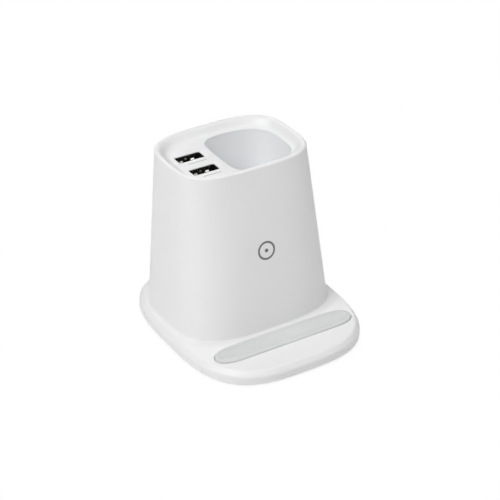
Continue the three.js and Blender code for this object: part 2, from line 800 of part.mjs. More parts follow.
// Ports: each is a folded steel shell with two springs on each long side, a plastic block with a
// tongue, and four contacts on the tongue
// A spring leaf in side view: cut free from the wall, it bows into the socket and back again
function springLeaf() {
  const bowShares = [[0, 0], [0.2, 0.15], [0.45, 0.75], [0.65, 1], [0.85, 0.8], [1, 0.5]];
  const inner = bowShares.map(([along, bow]) => (
    new THREE.Vector2(along * springLength, bow * springBulge + shellWall)));
  const outer = bowShares.map(([along, bow]) => (
    new THREE.Vector2(along * springLength, bow * springBulge)));
  const shape = new THREE.Shape([...outer, ...inner.reverse()]);
  return new THREE.ExtrudeGeometry(shape, { depth: springWidth, bevelEnabled: false });
}

function portShell() {
  const outside = roundedRectangle(shellWidth, shellDepth, shellCorner);
  const bore = roundedRectangle(shellWidth - 2 * shellWall, shellDepth - 2 * shellWall,
    shellCorner - shellWall);
  outside.holes.push(bore);
  const tube = solid(plate(outside, shellLength, 0, 0, 0));
  const springTopZ = shellLength - springSetback;
  const windowWidth = springWidth + 2 * looseGap;
  const windows = [];
  const leaves = [];
  for (const side of [-1, 1]) {
    for (const x of [-springX, springX]) {
      const wallY = side * (shellDepth / 2 - shellWall / 2);
      windows.push(solid(block(windowWidth, 2 * shellWall, springLength, x, wallY,
        springTopZ - springLength + shellWall)));
      const leaf = springLeaf();
      leaf.rotateY(-Math.PI / 2);
      leaf.translate(springWidth / 2, -shellDepth / 2, springTopZ - springLength);
      if (side > 0) leaf.rotateZ(Math.PI);
      leaf.translate(x, 0, 0);
      leaves.push(solid(leaf));
    }
  }
  return geometryOf(tube.subtract(joined(windows)).add(joined(leaves)));
}

function portTongue() {
  const width = shellWidth - 2 * shellWall - 2 * fitGap;
  const depth = shellDepth - 2 * shellWall - 2 * fitGap;
  const base = solid(block(width, depth, socketBlockHeight, 0, 0, 0));
  const blade = solid(block(tongueWidth, tongueThickness, socketBlockHeight / 2 + tongueLength,
    0, -tongueForward, socketBlockHeight / 2));
  return geometryOf(base.add(blade));
}

// The tongue stands in front of the socket's middle, and the contacts lie on its rear face
const contactY = (tongueThickness + contactThickness) / 2 - tongueForward;
const contactBottomZ = portBoardTopZ + socketBlockHeight;

portPlaces.forEach((y, i) => {
  const port = `port_${i + 1}`;
  const place = (mesh) => mesh.position.set(portX, y, portBoardTopZ);
  place(add(`${port}_shell`, portShell(), darkSteel));
  place(add(`${port}_tongue`, portTongue(), blackPlastic));
  for (let k = 0; k < contactCount; k++) {
    const x = portX + (k - (contactCount - 1) / 2) * contactPitch;
    const strip = block(contactWidth, contactThickness, contactLength, x, y + contactY,
      contactBottomZ);
    add(`${port}_contact_${k + 1}`, strip, gold);
  }
});

// Port board: hangs under the deck on two posts and carries both sockets
function portBoard() {
  const depth = 2 * (portPostReach + portBoardMargin);
  const shape = roundedRectangle(portBoardWidth, depth, portBoardCorner);
  const board = solid(plate(shape, boardThickness, portX - portBoardShift, portBoardY,
    portBoardTopZ - boardThickness, roundingSteps));
  const holes = portBoardPosts.map((y) => (
    solid(pillar(boardPilotDiameter, portX, y, portBoardTopZ - boardThickness - overrun,
      boardThickness + 2 * overrun, holeSides))));
  return geometryOf(board.subtract(joined(holes)));
}

add('port_board', portBoard(), greenBoard);

function boardScrew() {
  return screw(boardScrewThread, boardScrewLength, boardScrewHead, boardScrewHeadHeight);
}

portBoardPosts.forEach((y, i) => {
  const mesh = add(`port_board_screw_${i + 1}`, boardScrew(), steel);
  mesh.rotation.x = Math.PI;
  mesh.position.set(portX, y, portBoardTopZ - boardThickness);
});

// Main board: lies on the cover's posts, with its rear corners cut to clear the round housing
function mainBoard() {
  const half = mainBoardWidth / 2;
  const shape = new THREE.Shape();
  shape.moveTo(-half, mainBoardFrontY);
  shape.lineTo(half, mainBoardFrontY);
  shape.lineTo(half, mainBoardRearY - mainBoardCornerCut);
  shape.lineTo(half - mainBoardCornerCut, mainBoardRearY);
  shape.lineTo(-half + mainBoardCornerCut, mainBoardRearY);
  shape.lineTo(-half, mainBoardRearY - mainBoardCornerCut);
  const board = solid(plate(shape, boardThickness, 0, 0, mainBoardZ));
  const holes = mainPosts.map(([x, y]) => (
    solid(pillar(boardPilotDiameter, x, y, mainBoardZ - overrun, boardThickness + 2 * overrun,
      holeSides))));
  return geometryOf(board.subtract(joined(holes)));
}

add('main_board', mainBoard(), greenBoard);

mainPosts.forEach(([x, y], i) => {
  add(`main_board_screw_${i + 1}`, boardScrew(), steel).position.set(x, y, mainBoardTopZ);
});

// Power inlet: a low shell with round ends and a thin tongue, its mouth just inside the rear wall
const inletMouthY = rearEdgeY - inletSetback;

function inletShell() {
  const outside = roundedRectangle(inletWidth, inletHeight, (inletHeight - inletWall) / 2);
  outside.holes.push(roundedRectangle(inletWidth - 2 * inletWall, inletHeight - 2 * inletWall,
    (inletHeight - 3 * inletWall) / 2));
  return plate(outside, inletLength, 0, 0, 0, roundingSteps);
}

function inletTongue() {
  const width = inletWidth - 2 * inletWall - 2 * portGap;
  const height = inletHeight - 2 * inletWall - 2 * portGap;
  const base = solid(plate(roundedRectangle(width, height, height / 2 - portGap),
    inletBlockLength, 0, 0, 0));
  const length = inletLength - inletTongueSetback;
  return geometryOf(base.add(solid(block(inletTongueWidth, inletTongueThickness, length, 0, 0, 0))));
}

for (const [name, geometry, material] of [['inlet_shell', inletShell(), steel],
  ['inlet_tongue', inletTongue(), blackPlastic]]) {
  const mesh = add(name, geometry, material);
  mesh.rotation.x = -Math.PI / 2;
  mesh.position.set(0, inletMouthY - inletLength, inletZ);
}

// Ribbon and its plugs: a flat cable with a soft bow in it joins the port board to the main board
const portPlugX = portX + portPlugShift;
const mainPlugX = mainPlugInset - mainBoardWidth / 2;
const portPlugBottomZ = portBoardTopZ - boardThickness - plugHeight;
const mainPlugTopZ = mainBoardTopZ + plugHeight;

function ribbon() {
  const length = portPlugBottomZ - mainPlugTopZ;
  const edge = (side) => Array.from({ length: ribbonSteps + 1 }, (_, i) => {
    const share = i / ribbonSteps;
    const middle = mainPlugX + (portPlugX - mainPlugX) * share;
    const bow = ribbonBow * Math.sin(Math.PI * share) ** 2;
    return new THREE.Vector2(middle - bow + (side * ribbonThickness) / 2, share * length);
  });
  const shape = new THREE.Shape([...edge(1), ...edge(-1).reverse()]);
  const geometry = new THREE.ExtrudeGeometry(shape, { depth: ribbonWidth, bevelEnabled: false });
  geometry.rotateX(Math.PI / 2);
  geometry.translate(0, portBoardY + ribbonWidth / 2, mainPlugTopZ);
  return geometry;
}

add('port_plug', block(plugWidth, plugDepth, plugHeight, portPlugX, portBoardY, portPlugBottomZ),
  whiteNylon);
add('main_plug', block(plugWidth, plugDepth, plugHeight, mainPlugX, portBoardY, mainBoardTopZ),
  whiteNylon);
add('board_ribbon', ribbon(), ribbonGrey);

// Power chip: a flat body with a row of legs on each side
function powerChip() {
  const bodyBottom = chipLegHeight / 2;
  const parts = [solid(block(powerChipWidth, powerChipDepth, powerChipHeight, 0, 0, bodyBottom))];
  for (let k = 0; k < chipLegsPerSide; k++) {
    const y = (k - (chipLegsPerSide - 1) / 2) * chipLegPitch;
    const across = powerChipWidth + 2 * chipLegLength;
    parts.push(solid(block(across, chipLegWidth, chipLegHeight, 0, y, 0)));
  }
  return geometryOf(joined(parts));
}

const capacitorX = mainBoardWidth / 2 - capacitorSideInset;
const capacitorRearY = mainBoardRearY - capacitorRearInset;
const powerChipX = capacitorX - capacitorDiameter / 2 - powerChipGap - powerChipWidth / 2
  - chipLegLength;
add('power_chip', powerChip(), blackPlastic).position
  .set(powerChipX, capacitorRearY, mainBoardTopZ);

add('coil_chip', block(coilChipWidth, coilChipWidth, coilChipHeight, 0,
  mainBoardFrontY + coilChipFrontInset, mainBoardTopZ), blackPlastic);

// Inductors: square blocks with round corners, one on each side of the inlet
const inductorX = (inletWidth + inductorWidth) / 2 + inductorInletGap;
[-inductorX, inductorX].forEach((x, i) => {
  const shape = roundedRectangle(inductorWidth, inductorWidth, inductorCorner);
  const body = plate(shape, inductorHeight, x, mainBoardRearY - inductorRearInset, mainBoardTopZ);
  add(`inductor_${i + 1}`, body, ferrite);
});

// Capacitors: metal cans with a pinched groove near the foot
function capacitor() {
  const radius = capacitorDiameter / 2;
  return new THREE.LatheGeometry([
    new THREE.Vector2(0, 0),
    new THREE.Vector2(radius, 0),
    new THREE.Vector2(radius, capacitorGrooveHeight - capacitorGroove),
    new THREE.Vector2(radius - capacitorGroove, capacitorGrooveHeight),
    new THREE.Vector2(radius, capacitorGrooveHeight + capacitorGroove),
    new THREE.Vector2(radius, capacitorHeight),
    new THREE.Vector2(0, capacitorHeight),
  ], roundSides).rotateX(Math.PI / 2);
}

for (let i = 0; i < capacitorCount; i++) {
  const mesh = add(`capacitor_${i + 1}`, capacitor(), canMetal);
  mesh.position.set(capacitorX, capacitorRearY - i * capacitorPitch, mainBoardTopZ);
}

// Charging coil: one flat spiral, starting and ending at its lowest point
const coilStartAngle = -Math.PI / 2;

function chargingCoil() {
  const rings = [];
  for (let i = 0; i <= coilTurns * coilStepsPerTurn; i++) {
    const turn = i / coilStepsPerTurn;
    const angle = coilStartAngle + 2 * Math.PI * turn;
    const radius = coilInnerRadius + turn * coilPitch;
    rings.push([[1, -1], [-1, -1], [-1, 1], [1, 1]].map(([outward, forward]) => {
      const r = radius + (outward * coilWireWidth) / 2;
      const z = -coilStandoff - coilWireHeight / 2 + (forward * coilWireHeight) / 2;
      return new THREE.Vector3(r * Math.cos(angle), r * Math.sin(angle), z);
    }));
  }
  return loft(rings);
}

add('charging_coil', chargingCoil(), copper, coilFrame);
add('ferrite_plate', pillar(2 * ferriteRadius, 0, 0, -ferriteBackDepth, ferriteThickness, discSides),
  ferrite, coilFrame);

// Coil carrier: a round tray with a low rim, held by three ears on the housing's posts
function coilCarrier() {
  const tray = solid(pillar(2 * carrierRadius, 0, 0, -carrierBackDepth,
    carrierThickness + carrierRimHeight, discSides));
  const hollow = solid(pillar(2 * (carrierRadius - carrierRimWidth), 0, 0, -carrierFrontDepth,
    carrierRimHeight + overrun, discSides));
  const ears = carrierEars.map(([x, y]) => (
    solid(pillar(2 * carrierEarRadius, x, y, -carrierBackDepth, carrierThickness))));
  const holes = carrierEars.map(([x, y]) => (
    solid(pillar(boardPilotDiameter, x, y, -carrierBackDepth - overrun,
      carrierThickness + 2 * overrun, holeSides))));
  return geometryOf(joined([tray, ...ears]).subtract(joined([hollow, ...holes])));
}

add('coil_carrier', coilCarrier(), whiteNylon, coilFrame);

carrierEars.forEach(([x, y], i) => {
  const mesh = add(`coil_screw_${i + 1}`, boardScrew(), steel, coilFrame);
  mesh.rotation.x = Math.PI;
  mesh.position.set(x, y, -carrierBackDepth - looseGap);
});

// Coil leads: one from each end of the spiral, past the carrier's lower edge and down to the board
function coilLead(points) {
  const section = new THREE.Shape();
  section.absarc(0, 0, leadRadius, 0, 2 * Math.PI);
  return new THREE.ExtrudeGeometry(section, {
    steps: leadSteps,
    curveSegments: wireSides / 2,
    extrudePath: new THREE.CatmullRomCurve3(points),
  });
}

const coilMidDepth = coilStandoff + coilWireHeight / 2;
const leadFrontDepth = coilStandoff - looseGap - leadRadius;
const onCoil = (x, y, depth) => new THREE.Vector3(x, y, -depth).applyMatrix4(coilFrame.matrix);
const leadLandY = mainBoardFrontY + leadLandSetback;
const leadLandZ = mainBoardTopZ + looseGap;
const leadX = leadSpacing / 2;
const carrierFootY = -carrierRadius;

function leadTail(side) {
  const x = side * leadX;
  return [
    new THREE.Vector3(x, leadLandY - 3 * leadLandSetback, leadLandZ + leadLandSetback),
    new THREE.Vector3(x, leadLandY, leadLandZ + leadLandSetback),
    new THREE.Vector3(x, leadLandY, leadLandZ),
  ];
}

add('coil_lead_1', coilLead([
  onCoil(looseGap, -coilOuterRadius, coilMidDepth),
  onCoil(leadX, -coilOuterRadius - coilPitch, coilMidDepth),
  onCoil(leadX, carrierFootY, coilMidDepth),
  onCoil(leadX, carrierFootY - 2 * coilPitch, carrierFrontDepth),
  ...leadTail(1),
]), redWire);
add('coil_lead_2', coilLead([
  onCoil(-looseGap, -coilInnerRadius, coilMidDepth),
  onCoil(-leadX, -coilInnerRadius, leadFrontDepth),
  onCoil(-leadX, -coilOuterRadius, leadFrontDepth),
  onCoil(-leadX, carrierFootY - 2 * coilPitch, carrierFrontDepth),
  ...leadTail(-1),
]), whiteWire);

export default group;
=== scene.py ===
import math

import bpy
import numpy as np
from mathutils import Matrix, Vector


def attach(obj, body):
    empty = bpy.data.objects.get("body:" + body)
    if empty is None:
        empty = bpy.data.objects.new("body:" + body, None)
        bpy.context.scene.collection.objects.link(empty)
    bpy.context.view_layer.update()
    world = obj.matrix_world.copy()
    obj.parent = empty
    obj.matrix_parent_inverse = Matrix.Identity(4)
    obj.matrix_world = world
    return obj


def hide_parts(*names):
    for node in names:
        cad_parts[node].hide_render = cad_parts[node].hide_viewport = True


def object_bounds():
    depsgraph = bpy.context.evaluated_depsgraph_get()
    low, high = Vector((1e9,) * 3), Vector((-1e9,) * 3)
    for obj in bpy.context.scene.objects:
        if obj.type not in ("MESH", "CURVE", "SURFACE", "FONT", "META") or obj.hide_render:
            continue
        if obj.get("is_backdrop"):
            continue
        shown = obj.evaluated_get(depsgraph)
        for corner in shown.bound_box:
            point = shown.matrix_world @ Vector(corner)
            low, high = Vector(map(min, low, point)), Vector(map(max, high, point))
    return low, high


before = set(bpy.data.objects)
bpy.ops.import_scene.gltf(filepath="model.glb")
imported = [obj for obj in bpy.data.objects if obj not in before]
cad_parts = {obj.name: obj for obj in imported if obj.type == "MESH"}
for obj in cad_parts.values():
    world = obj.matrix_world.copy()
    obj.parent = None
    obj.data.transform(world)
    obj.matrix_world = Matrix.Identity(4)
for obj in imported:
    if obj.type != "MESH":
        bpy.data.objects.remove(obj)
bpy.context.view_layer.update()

# Camera: a long lens a good arm's length away, looking down on the front left corner of the holder
# from a little above it. Lengths in this file are written in millimetres and multiplied by mm.
mm = 0.001
camera_turn = math.radians(-31.51)
camera_rise = math.radians(31.545)
camera_reach = 846.0
aim_right = 0.923
aim_up = 33.58
aim_height = 0.2


def placed(name, data):
    thing = bpy.data.objects.new(name, data)
    bpy.context.scene.collection.objects.link(thing)
    return thing


camera = placed("camera", bpy.data.cameras.new("camera"))
bpy.context.scene.camera = camera
camera.data.lens = 123.5
camera.data.sensor_width = 36
camera.data.clip_start = 0.05
camera.data.clip_end = 30
right = Vector((math.cos(camera_turn), math.sin(camera_turn), 0))
back = Vector((math.sin(camera_turn) * math.cos(camera_rise),
               -math.cos(camera_turn) * math.cos(camera_rise), math.sin(camera_rise)))
up = back.cross(right)
aim = (right * aim_right + up * aim_up + Vector((0, 0, aim_height))) * mm
turn = Matrix((right, up, back)).transposed().to_4x4()
camera.matrix_world = Matrix.Translation(aim + back * camera_reach * mm) @ turn


# Floor and surroundings: a white table top that runs out of sight, in a white room. The camera and
# reflections see pure white, and the shade that the holder casts stays on the floor.
class Wire:
    """A socket of a shader. Sums and products of wires add Math nodes."""

    def __init__(self, tree, socket=None):
        self.tree = tree
        self.socket = socket

    def node(self, kind, settings=(), inputs=(), output=0):
        made = self.tree.nodes.new(kind)
        for name, value in dict(settings).items():
            setattr(made, name, value)
        for name, value in dict(inputs).items():
            if isinstance(value, Wire):
                self.tree.links.new(value.socket, made.inputs[name])
            else:
                made.inputs[name].default_value = value
        return Wire(self.tree, made.outputs[output] if made.outputs else None)

    def maths(self, operation, *values):
        return self.node("ShaderNodeMath", {"operation": operation}, enumerate(values))

    def mix(self, low, high):
        inputs = {0: self, 6: low, 7: high}
        return self.node("ShaderNodeMix", {"data_type": "RGBA"}, inputs, output=2)

    def within(self, low, high):
        inputs = {"Value": self, "From Min": low, "From Max": high}
        return self.node("ShaderNodeMapRange", {"clamp": True}, inputs)

    def __add__(self, other):
        return self.maths("ADD", self, other)

    def __sub__(self, other):
        return self.maths("SUBTRACT", self, other)

    def __rsub__(self, other):
        return self.maths("SUBTRACT", other, self)

    def __mul__(self, other):
        return self.maths("MULTIPLY", self, other)

    def __truediv__(self, other):
        return self.maths("DIVIDE", self, other)

    def __pow__(self, other):
        return self.maths("POWER", self, other)

    def __abs__(self):
        return self.maths("ABSOLUTE", self)


room_light = 0.03
floor_reach = 4.0
floor_white = (0.95, 0.95, 0.95, 1)
shade_width = 0.002
shade_share = 0.3


def looked_at(start):
    """One for the rays that look at a thing, nothing for those that carry its light on."""
    direct, glossy, clear = [start.node("ShaderNodeLightPath", output=f"Is {kind} Ray")
                             for kind in ("Camera", "Glossy", "Transmission")]
    return start.maths("MAXIMUM", direct, start.maths("MAXIMUM", glossy, clear))


world = bpy.data.worlds.new("white_room")
bpy.context.scene.world = world
world.use_nodes = True
world.node_tree.nodes.clear()
sky = Wire(world.node_tree)
strength = looked_at(sky) * (1 - room_light) + room_light
room = sky.node("ShaderNodeBackground", (), {"Strength": strength})
sky.node("ShaderNodeOutputWorld", (), {"Surface": room})

floor_mesh = bpy.data.meshes.new("floor")
corners = [(-1, -1), (1, -1), (1, 1), (-1, 1)]
floor_mesh.from_pydata([(x * floor_reach, y * floor_reach, 0) for x, y in corners], [], [range(4)])
floor = placed("floor", floor_mesh)
table_top = bpy.data.materials.new("white_table_top")
table_top.use_nodes = True
table_top.node_tree.nodes.clear()
floor_mesh.materials.append(table_top)
top = Wire(table_top.node_tree)
open_sky = top.node("ShaderNodeAmbientOcclusion", {"samples": 8}, {"Distance": shade_width}, "AO")
table = top.node("ShaderNodeBsdfDiffuse", (), {"Color": floor_white})
glow = top.node("ShaderNodeEmission")
shown = looked_at(top) * (open_sky * shade_share + 1 - shade_share)
both = top.node("ShaderNodeMixShader", (), {0: shown, 1: table, 2: glow})
top.node("ShaderNodeOutputMaterial", (), {"Surface": both})
floor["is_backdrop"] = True


# Lamps: four large soft boxes. The main one stands high on the left, a second one high in front on
# the left, and two weak ones on the right and behind.
def soft_box(name, place, width, power):
    lamp = placed(name, bpy.data.lights.new(name, "AREA"))
    lamp.data.shape = "SQUARE"
    lamp.data.size = width
    lamp.data.energy = power
    lamp.location = place
    towards = Vector((0, 0, body_middle_height)) - Vector(place)
    lamp.rotation_euler = towards.to_track_quat("-Z", "Y").to_euler()
    lamp.visible_camera = False


body_middle_height = 0.045
soft_box("left_lamp", (-0.87, -0.22, 1.06), 0.8, 10.2)
soft_box("near_lamp", (-0.42, -0.6, 1.08), 0.8, 4.35)
soft_box("right_lamp", (0.6, -0.3, 0.9), 0.7, 3.25)
soft_box("rear_lamp", (0.1, 0.9, 0.7), 0.7, 2.0)

bpy.context.scene.view_settings.view_transform = "Standard"


# Housing: the body and the base in one injection moulding of white plastic, with a fine satin
# grain. It is open below and at the top. The wall is even, with bosses for the cover screws, three
# posts for the charging coil, and a backing under the recess that the grip pad lies in.
base_half = (45.65, 53.65)
base_squareness = (3.17, 3.17)
base_bottom = 0.8
base_top = 8.6
base_side_top = 5.1
base_crease = 7.6
base_bottom_round = 0.8
shoulder_inset = 1.95
shoulder_round = 0.9
foot_half = (41.95, 34.25)
foot_middle = 10.2
foot_squareness = (3.2, 3.0)
foot_fillet = 0.95
rim_half = (34.85, 25.65)
rim_middle = 16.4
rim_squareness = (3.5, 3.17)
rim_top = 89.2
rim_round = 1.05
rim_crest = 1.3
rim_crest_round = 0.25
rim_shoulder = rim_top - rim_round
land_inset = 1.7
land_height = 89.05
land_round = 0.08
seat_height = 86.35
wall = 2.2
neck_wall = 2.9
neck_depth = 5.0
ring_points = 240
top_steps = 18
body_steps = 14
round_steps = 6
halvings = 34


def full_turn(count):
    return np.linspace(0, 2 * math.pi, count, endpoint=False)


def how_far(x, y, half, squareness):
    """How far out a place lies in a squared ellipse, from 0 in its middle to 1 on its edge. The
    front and rear halves have their own squareness."""
    power = np.where(y < 0, *squareness)
    return (np.abs(x / half[0]) ** power + np.abs(y / half[1]) ** power) ** (1 / power)


def squared_ring(half, middle, squareness, inset, z):
    angle = full_turn(ring_points)
    c, s = np.cos(angle), np.sin(angle)
    r = 1 / how_far(c, s, (half[0] - inset, half[1] - inset), squareness)
    return np.stack([r * c, middle + r * s, np.full(ring_points, float(z))], 1)


def ray_ring(inside, centre, angle, z):
    """Points on the edge of a region, each found by halving a ray from a centre within it."""
    c, s = np.cos(angle), np.sin(angle)
    low, high = np.zeros(len(angle)), np.full(len(angle), 2 * base_half[1])
    for _ in range(halvings):
        r = (low + high) / 2
        hit = inside(centre[0] + r * c, centre[1] + r * s)
        low, high = np.where(hit, r, low), np.where(hit, high, r)
    return np.stack([centre[0] + low * c, centre[1] + low * s, np.full(len(angle), float(z))], 1)


def base_ring(inset, z, angle=None):
    if angle is None:
        angle = full_turn(ring_points)
    half = (base_half[0] - inset, base_half[1] - inset)
    return ray_ring(lambda x, y: how_far(x, y, half, base_squareness) < 1, (0, foot_middle),
                    angle, z)


def rim_ring(inset, z):
    return squared_ring(rim_half, rim_middle, rim_squareness, inset, z)


def body_ring(inset, z):
    share = (z - base_top) / (rim_shoulder - base_top)
    foot = squared_ring(foot_half, foot_middle, foot_squareness, inset, z)
    return foot + (rim_ring(inset, z) - foot) * share


def bend(before, corner, after, radius, steps=round_steps):
    """Rings that round the corner between three rings, never past half way to a neighbour."""
    legs = []
    for ring in (before, after):
        leg = ring - corner
        length = np.linalg.norm(leg, axis=1, keepdims=True)
        legs.append(corner + leg * np.minimum(radius / length, 0.48))
    share = np.linspace(0, 1, steps + 1)
    return [legs[0] * (1 - t) ** 2 + corner * 2 * t * (1 - t) + legs[1] * t ** 2 for t in share]


def between(low, high, steps):
    return [low + (high - low) * i / steps for i in range(1, steps)]


def lofts(name, stacks, closed=False):
    """One piece of several skins. Each goes through a stack of rings of equally many points, and has
    flat ends or is closed on itself."""
    points, faces = [], []
    for rings in stacks:
        first, count = len(points), len(rings[0])
        points.extend(np.concatenate(rings) * mm)
        for k in range(len(rings) if closed else len(rings) - 1):
            low, high = first + k * count, first + (k + 1) % len(rings) * count
            for i in range(count):
                j = (i + 1) % count
                faces.append((low + i, low + j, high + j, high + i))
        if not closed:
            faces.append(tuple(range(first, first + count))[::-1])
            faces.append(tuple(range(len(points) - count, len(points))))
    mesh = bpy.data.meshes.new(name)
    mesh.from_pydata([tuple(p) for p in points], [], faces)
    return placed(name, mesh)


def loft(name, rings, closed=False):
    return lofts(name, [rings], closed)


def turned(name, profile, x, y, count=64):
    """A piece turned from a profile of radii and heights, the lowest first."""
    angle = full_turn(count)
    return loft(name, [np.column_stack([x + r * np.cos(angle), y + r * np.sin(angle),
                                        np.full(count, z)]) for r, z in profile])


def rod(name, x, y, low, high, radius, count=48):
    return turned(name, [(radius, low), (radius, high)], x, y, count)


def at(place):
    return Matrix.Translation(Vector(place) * mm)


def carve(piece, operation, *tools):
    """Cuts the tools from a piece, or joins them to it."""
    for tool in tools:
        step = piece.modifiers.new(operation, "BOOLEAN")
        step.operation = operation
        step.solver = "MANIFOLD"
        step.object = tool
    bpy.context.view_layer.update()
    shown = piece.evaluated_get(bpy.context.evaluated_depsgraph_get())
    result = bpy.data.meshes.new_from_object(shown)
    piece.modifiers.clear()
    piece.data = result
    for tool in tools:
        bpy.data.objects.remove(tool)
    return piece


def finish(name, build, **settings):
    """A procedural material. build returns what its Principled shader's sockets are fed."""
    material = bpy.data.materials.new(name)
    material.use_nodes = True
    material.node_tree.nodes.clear()
    start = Wire(material.node_tree)
    inputs = {key.replace("_", " "): value for key, value in settings.items()}
    shader = start.node("ShaderNodeBsdfPrincipled", (), {**inputs, **build(start)})
    start.node("ShaderNodeOutputMaterial", (), {"Surface": shader})
    return material


def place_of(start):
    return start.node("ShaderNodeTexCoord", output="Object")


def axes(start):
    """The place on the piece across, along and up, in metres."""
    return [start.node("ShaderNodeSeparateXYZ", (), {"Vector": place_of(start)}, output=axis)
            for axis in "XYZ"]


def noise(start, scale, detail):
    """A noise with so many cells to the metre, from 0 to 1."""
    inputs = {"Vector": place_of(start), "Scale": scale, "Detail": detail}
    return start.node("ShaderNodeTexNoise", (), inputs)


def bump(start, height, depth):
    """Normals for a surface whose height goes from 0 to depth, in millimetres."""
    return start.node("ShaderNodeBump", (), {"Height": height, "Distance": depth * mm})


def fit(piece, material, slot, *nodes, sharp=32):
    """Puts a finish on a piece, shades it smooth up to an angle, hangs it on the root, and hides the
    carried-over solids that it stands for.
    """
    piece.data.materials.clear()
    piece.data.materials.append(material)
    piece.data.shade_smooth()
    piece.data.set_sharp_from_angle(angle=math.radians(sharp))
    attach(piece, "root")
    if nodes:
        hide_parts(*nodes)


ledge_half = (37.95, 6.3)
ledge_middle = (0.4, -32.2)
ledge_squareness = 8.2
ledge_floor = 6.6
ledge_backing = 1.5
ledge_lip = 0.35
ledge_points = 200
boss_places = [(x, y) for x in (-34.2, 34.2) for y in (-8.0, 29.0)]
boss_radius = 3.8
boss_bottom = 2.8
boss_top = 15.8
boss_hole_radius = 1.6
boss_hole_depth = 9.0
coil_height = 43.0
front_foot = foot_middle - foot_half[1]
front_lean = rim_middle - rim_half[1] - front_foot
lean = math.atan2(front_lean, rim_shoulder - base_top)
off_wall = Matrix.Rotation(-math.pi / 2 - lean, 4, "X")
post_reach = 20.506
post_radius = 2.5
post_start = 0.5
post_depth = 3.86
post_hole_radius = 1.1
post_hole_depth = 3.7
inlet_half = (4.77, 1.93)
inlet_middle = 12.83
rear_edge = 44.45
inlet_lip = 0.4
inlet_points = 96
white = (0.9, 0.9, 0.9, 1)
white_warm = (0.885, 0.885, 0.882, 1)
ring_height = 48.1
ring_radius = 4.2
ring_line = 0.5
ring_dot = 0.95
ring_soft = 0.08
ring_ink = (0.16, 0.16, 0.16, 1)
foot_shade_end = 1.45
foot_shade_top = 9.6
foot_shade_from = -12.0
foot_shade_to = -24.0
painted_shade_white = (0.72, 0.72, 0.72, 1)
lip_turn = math.radians(76)
past = 1.0


def base_surface(x, y):
    """Height of the base's upper surface, which falls from the body's foot to the shoulder."""
    angle = np.arctan2(y - foot_middle, x)
    near = 1 / how_far(np.cos(angle), np.sin(angle), foot_half, foot_squareness)
    edge = base_ring(shoulder_inset, 0, angle)
    far = np.hypot(edge[:, 0], edge[:, 1] - foot_middle)
    share = (np.hypot(x, y - foot_middle) - near) / (far - near)
    return base_top + (base_crease - base_top) * np.clip(share, 0, 1)


def ledge_ring(inset):
    angle = full_turn(ledge_points)
    c = np.cos(angle)
    x = (ledge_half[0] - inset) * np.sign(c) * np.abs(c) ** (2 / ledge_squareness)
    y = (ledge_half[1] - inset) * np.sin(angle)
    return np.column_stack([x, y, np.zeros(ledge_points)]) + (*ledge_middle, 0)


def housing_skin():
    bottom, side = base_ring(0, base_bottom), base_ring(0, base_side_top)
    crease = base_ring(shoulder_inset, base_crease)
    foot, shoulder = body_ring(0, base_top), body_ring(0, rim_shoulder)
    foot_round = bend(crease, foot, shoulder, foot_fillet)
    outer = bend(base_ring(wall, base_bottom), bottom, side, base_bottom_round)
    outer += bend(bottom, side, crease, shoulder_round)
    outer += bend(side, crease, foot, shoulder_round)
    outer += between(outer[-1], foot_round[0], top_steps) + foot_round
    outer += between(foot_round[-1], shoulder, body_steps)
    for i in range(round_steps + 1):
        angle = math.pi / 2 * i / round_steps
        inset = rim_round * (1 - math.cos(angle))
        outer.append(rim_ring(inset, rim_shoulder + rim_round * math.sin(angle)))
    crest, land = rim_ring(rim_crest, rim_top), rim_ring(land_inset, land_height)
    seat = rim_ring(land_inset, seat_height)
    outer += bend(rim_ring(rim_round, rim_top), crest, land, rim_crest_round)[1:]
    outer += bend(crest, land, seat, land_round, 3)
    inner = [seat, rim_ring(neck_wall, seat_height),
             body_ring(neck_wall, seat_height - neck_depth),
             body_ring(wall, seat_height - neck_depth - neck_wall + wall),
             body_ring(wall, base_top - wall), base_ring(wall, base_crease - wall),
             base_ring(wall, base_bottom)]
    return loft("housing_shell", outer + inner, closed=True)


def cutter_with_lip(name, ring, surface, lower, lip):
    """A tool whose mouth flares out in a small rounding where it meets a surface. lower is the
    height of its floor, or the rings below the mouth."""
    rings = lower if isinstance(lower, list) else [ring(0) + (0, 0, lower)]
    for i in range(round_steps + 1):
        angle = lip_turn * i / round_steps
        edge = ring(-lip * (1 - math.cos(angle)))
        edge[:, 2] = surface(edge[:, 0], edge[:, 1]) - lip * (1 - math.sin(angle))
        rings.append(edge)
    reach = ring(-lip * (1 - math.cos(angle)) - past * math.sin(angle))
    rise = past * math.cos(angle) - lip * (1 - math.sin(angle))
    reach[:, 2] = surface(reach[:, 0], reach[:, 1]) + rise
    lid = reach.copy()
    lid[:, 2] = reach[:, 2].max() + past
    return loft(name, rings + [reach, lid])


def on_wall(across, along, depth):
    """A place on the inside of the leaning front wall: across, up the wall, and behind it."""
    behind = front_foot + (coil_height - base_top) * math.tan(lean) + wall
    c, s = math.cos(lean), math.sin(lean)
    return (across, behind + along * s + depth * c, coil_height + along * c - depth * s)


def wall_rod(name, across, along, near, far, radius):
    """A round solid that stands square on the inside of the front wall."""
    piece = rod(name, 0, 0, near, far, radius, 32)
    piece.data.transform(at(on_wall(across, along, 0)) @ off_wall)
    return piece


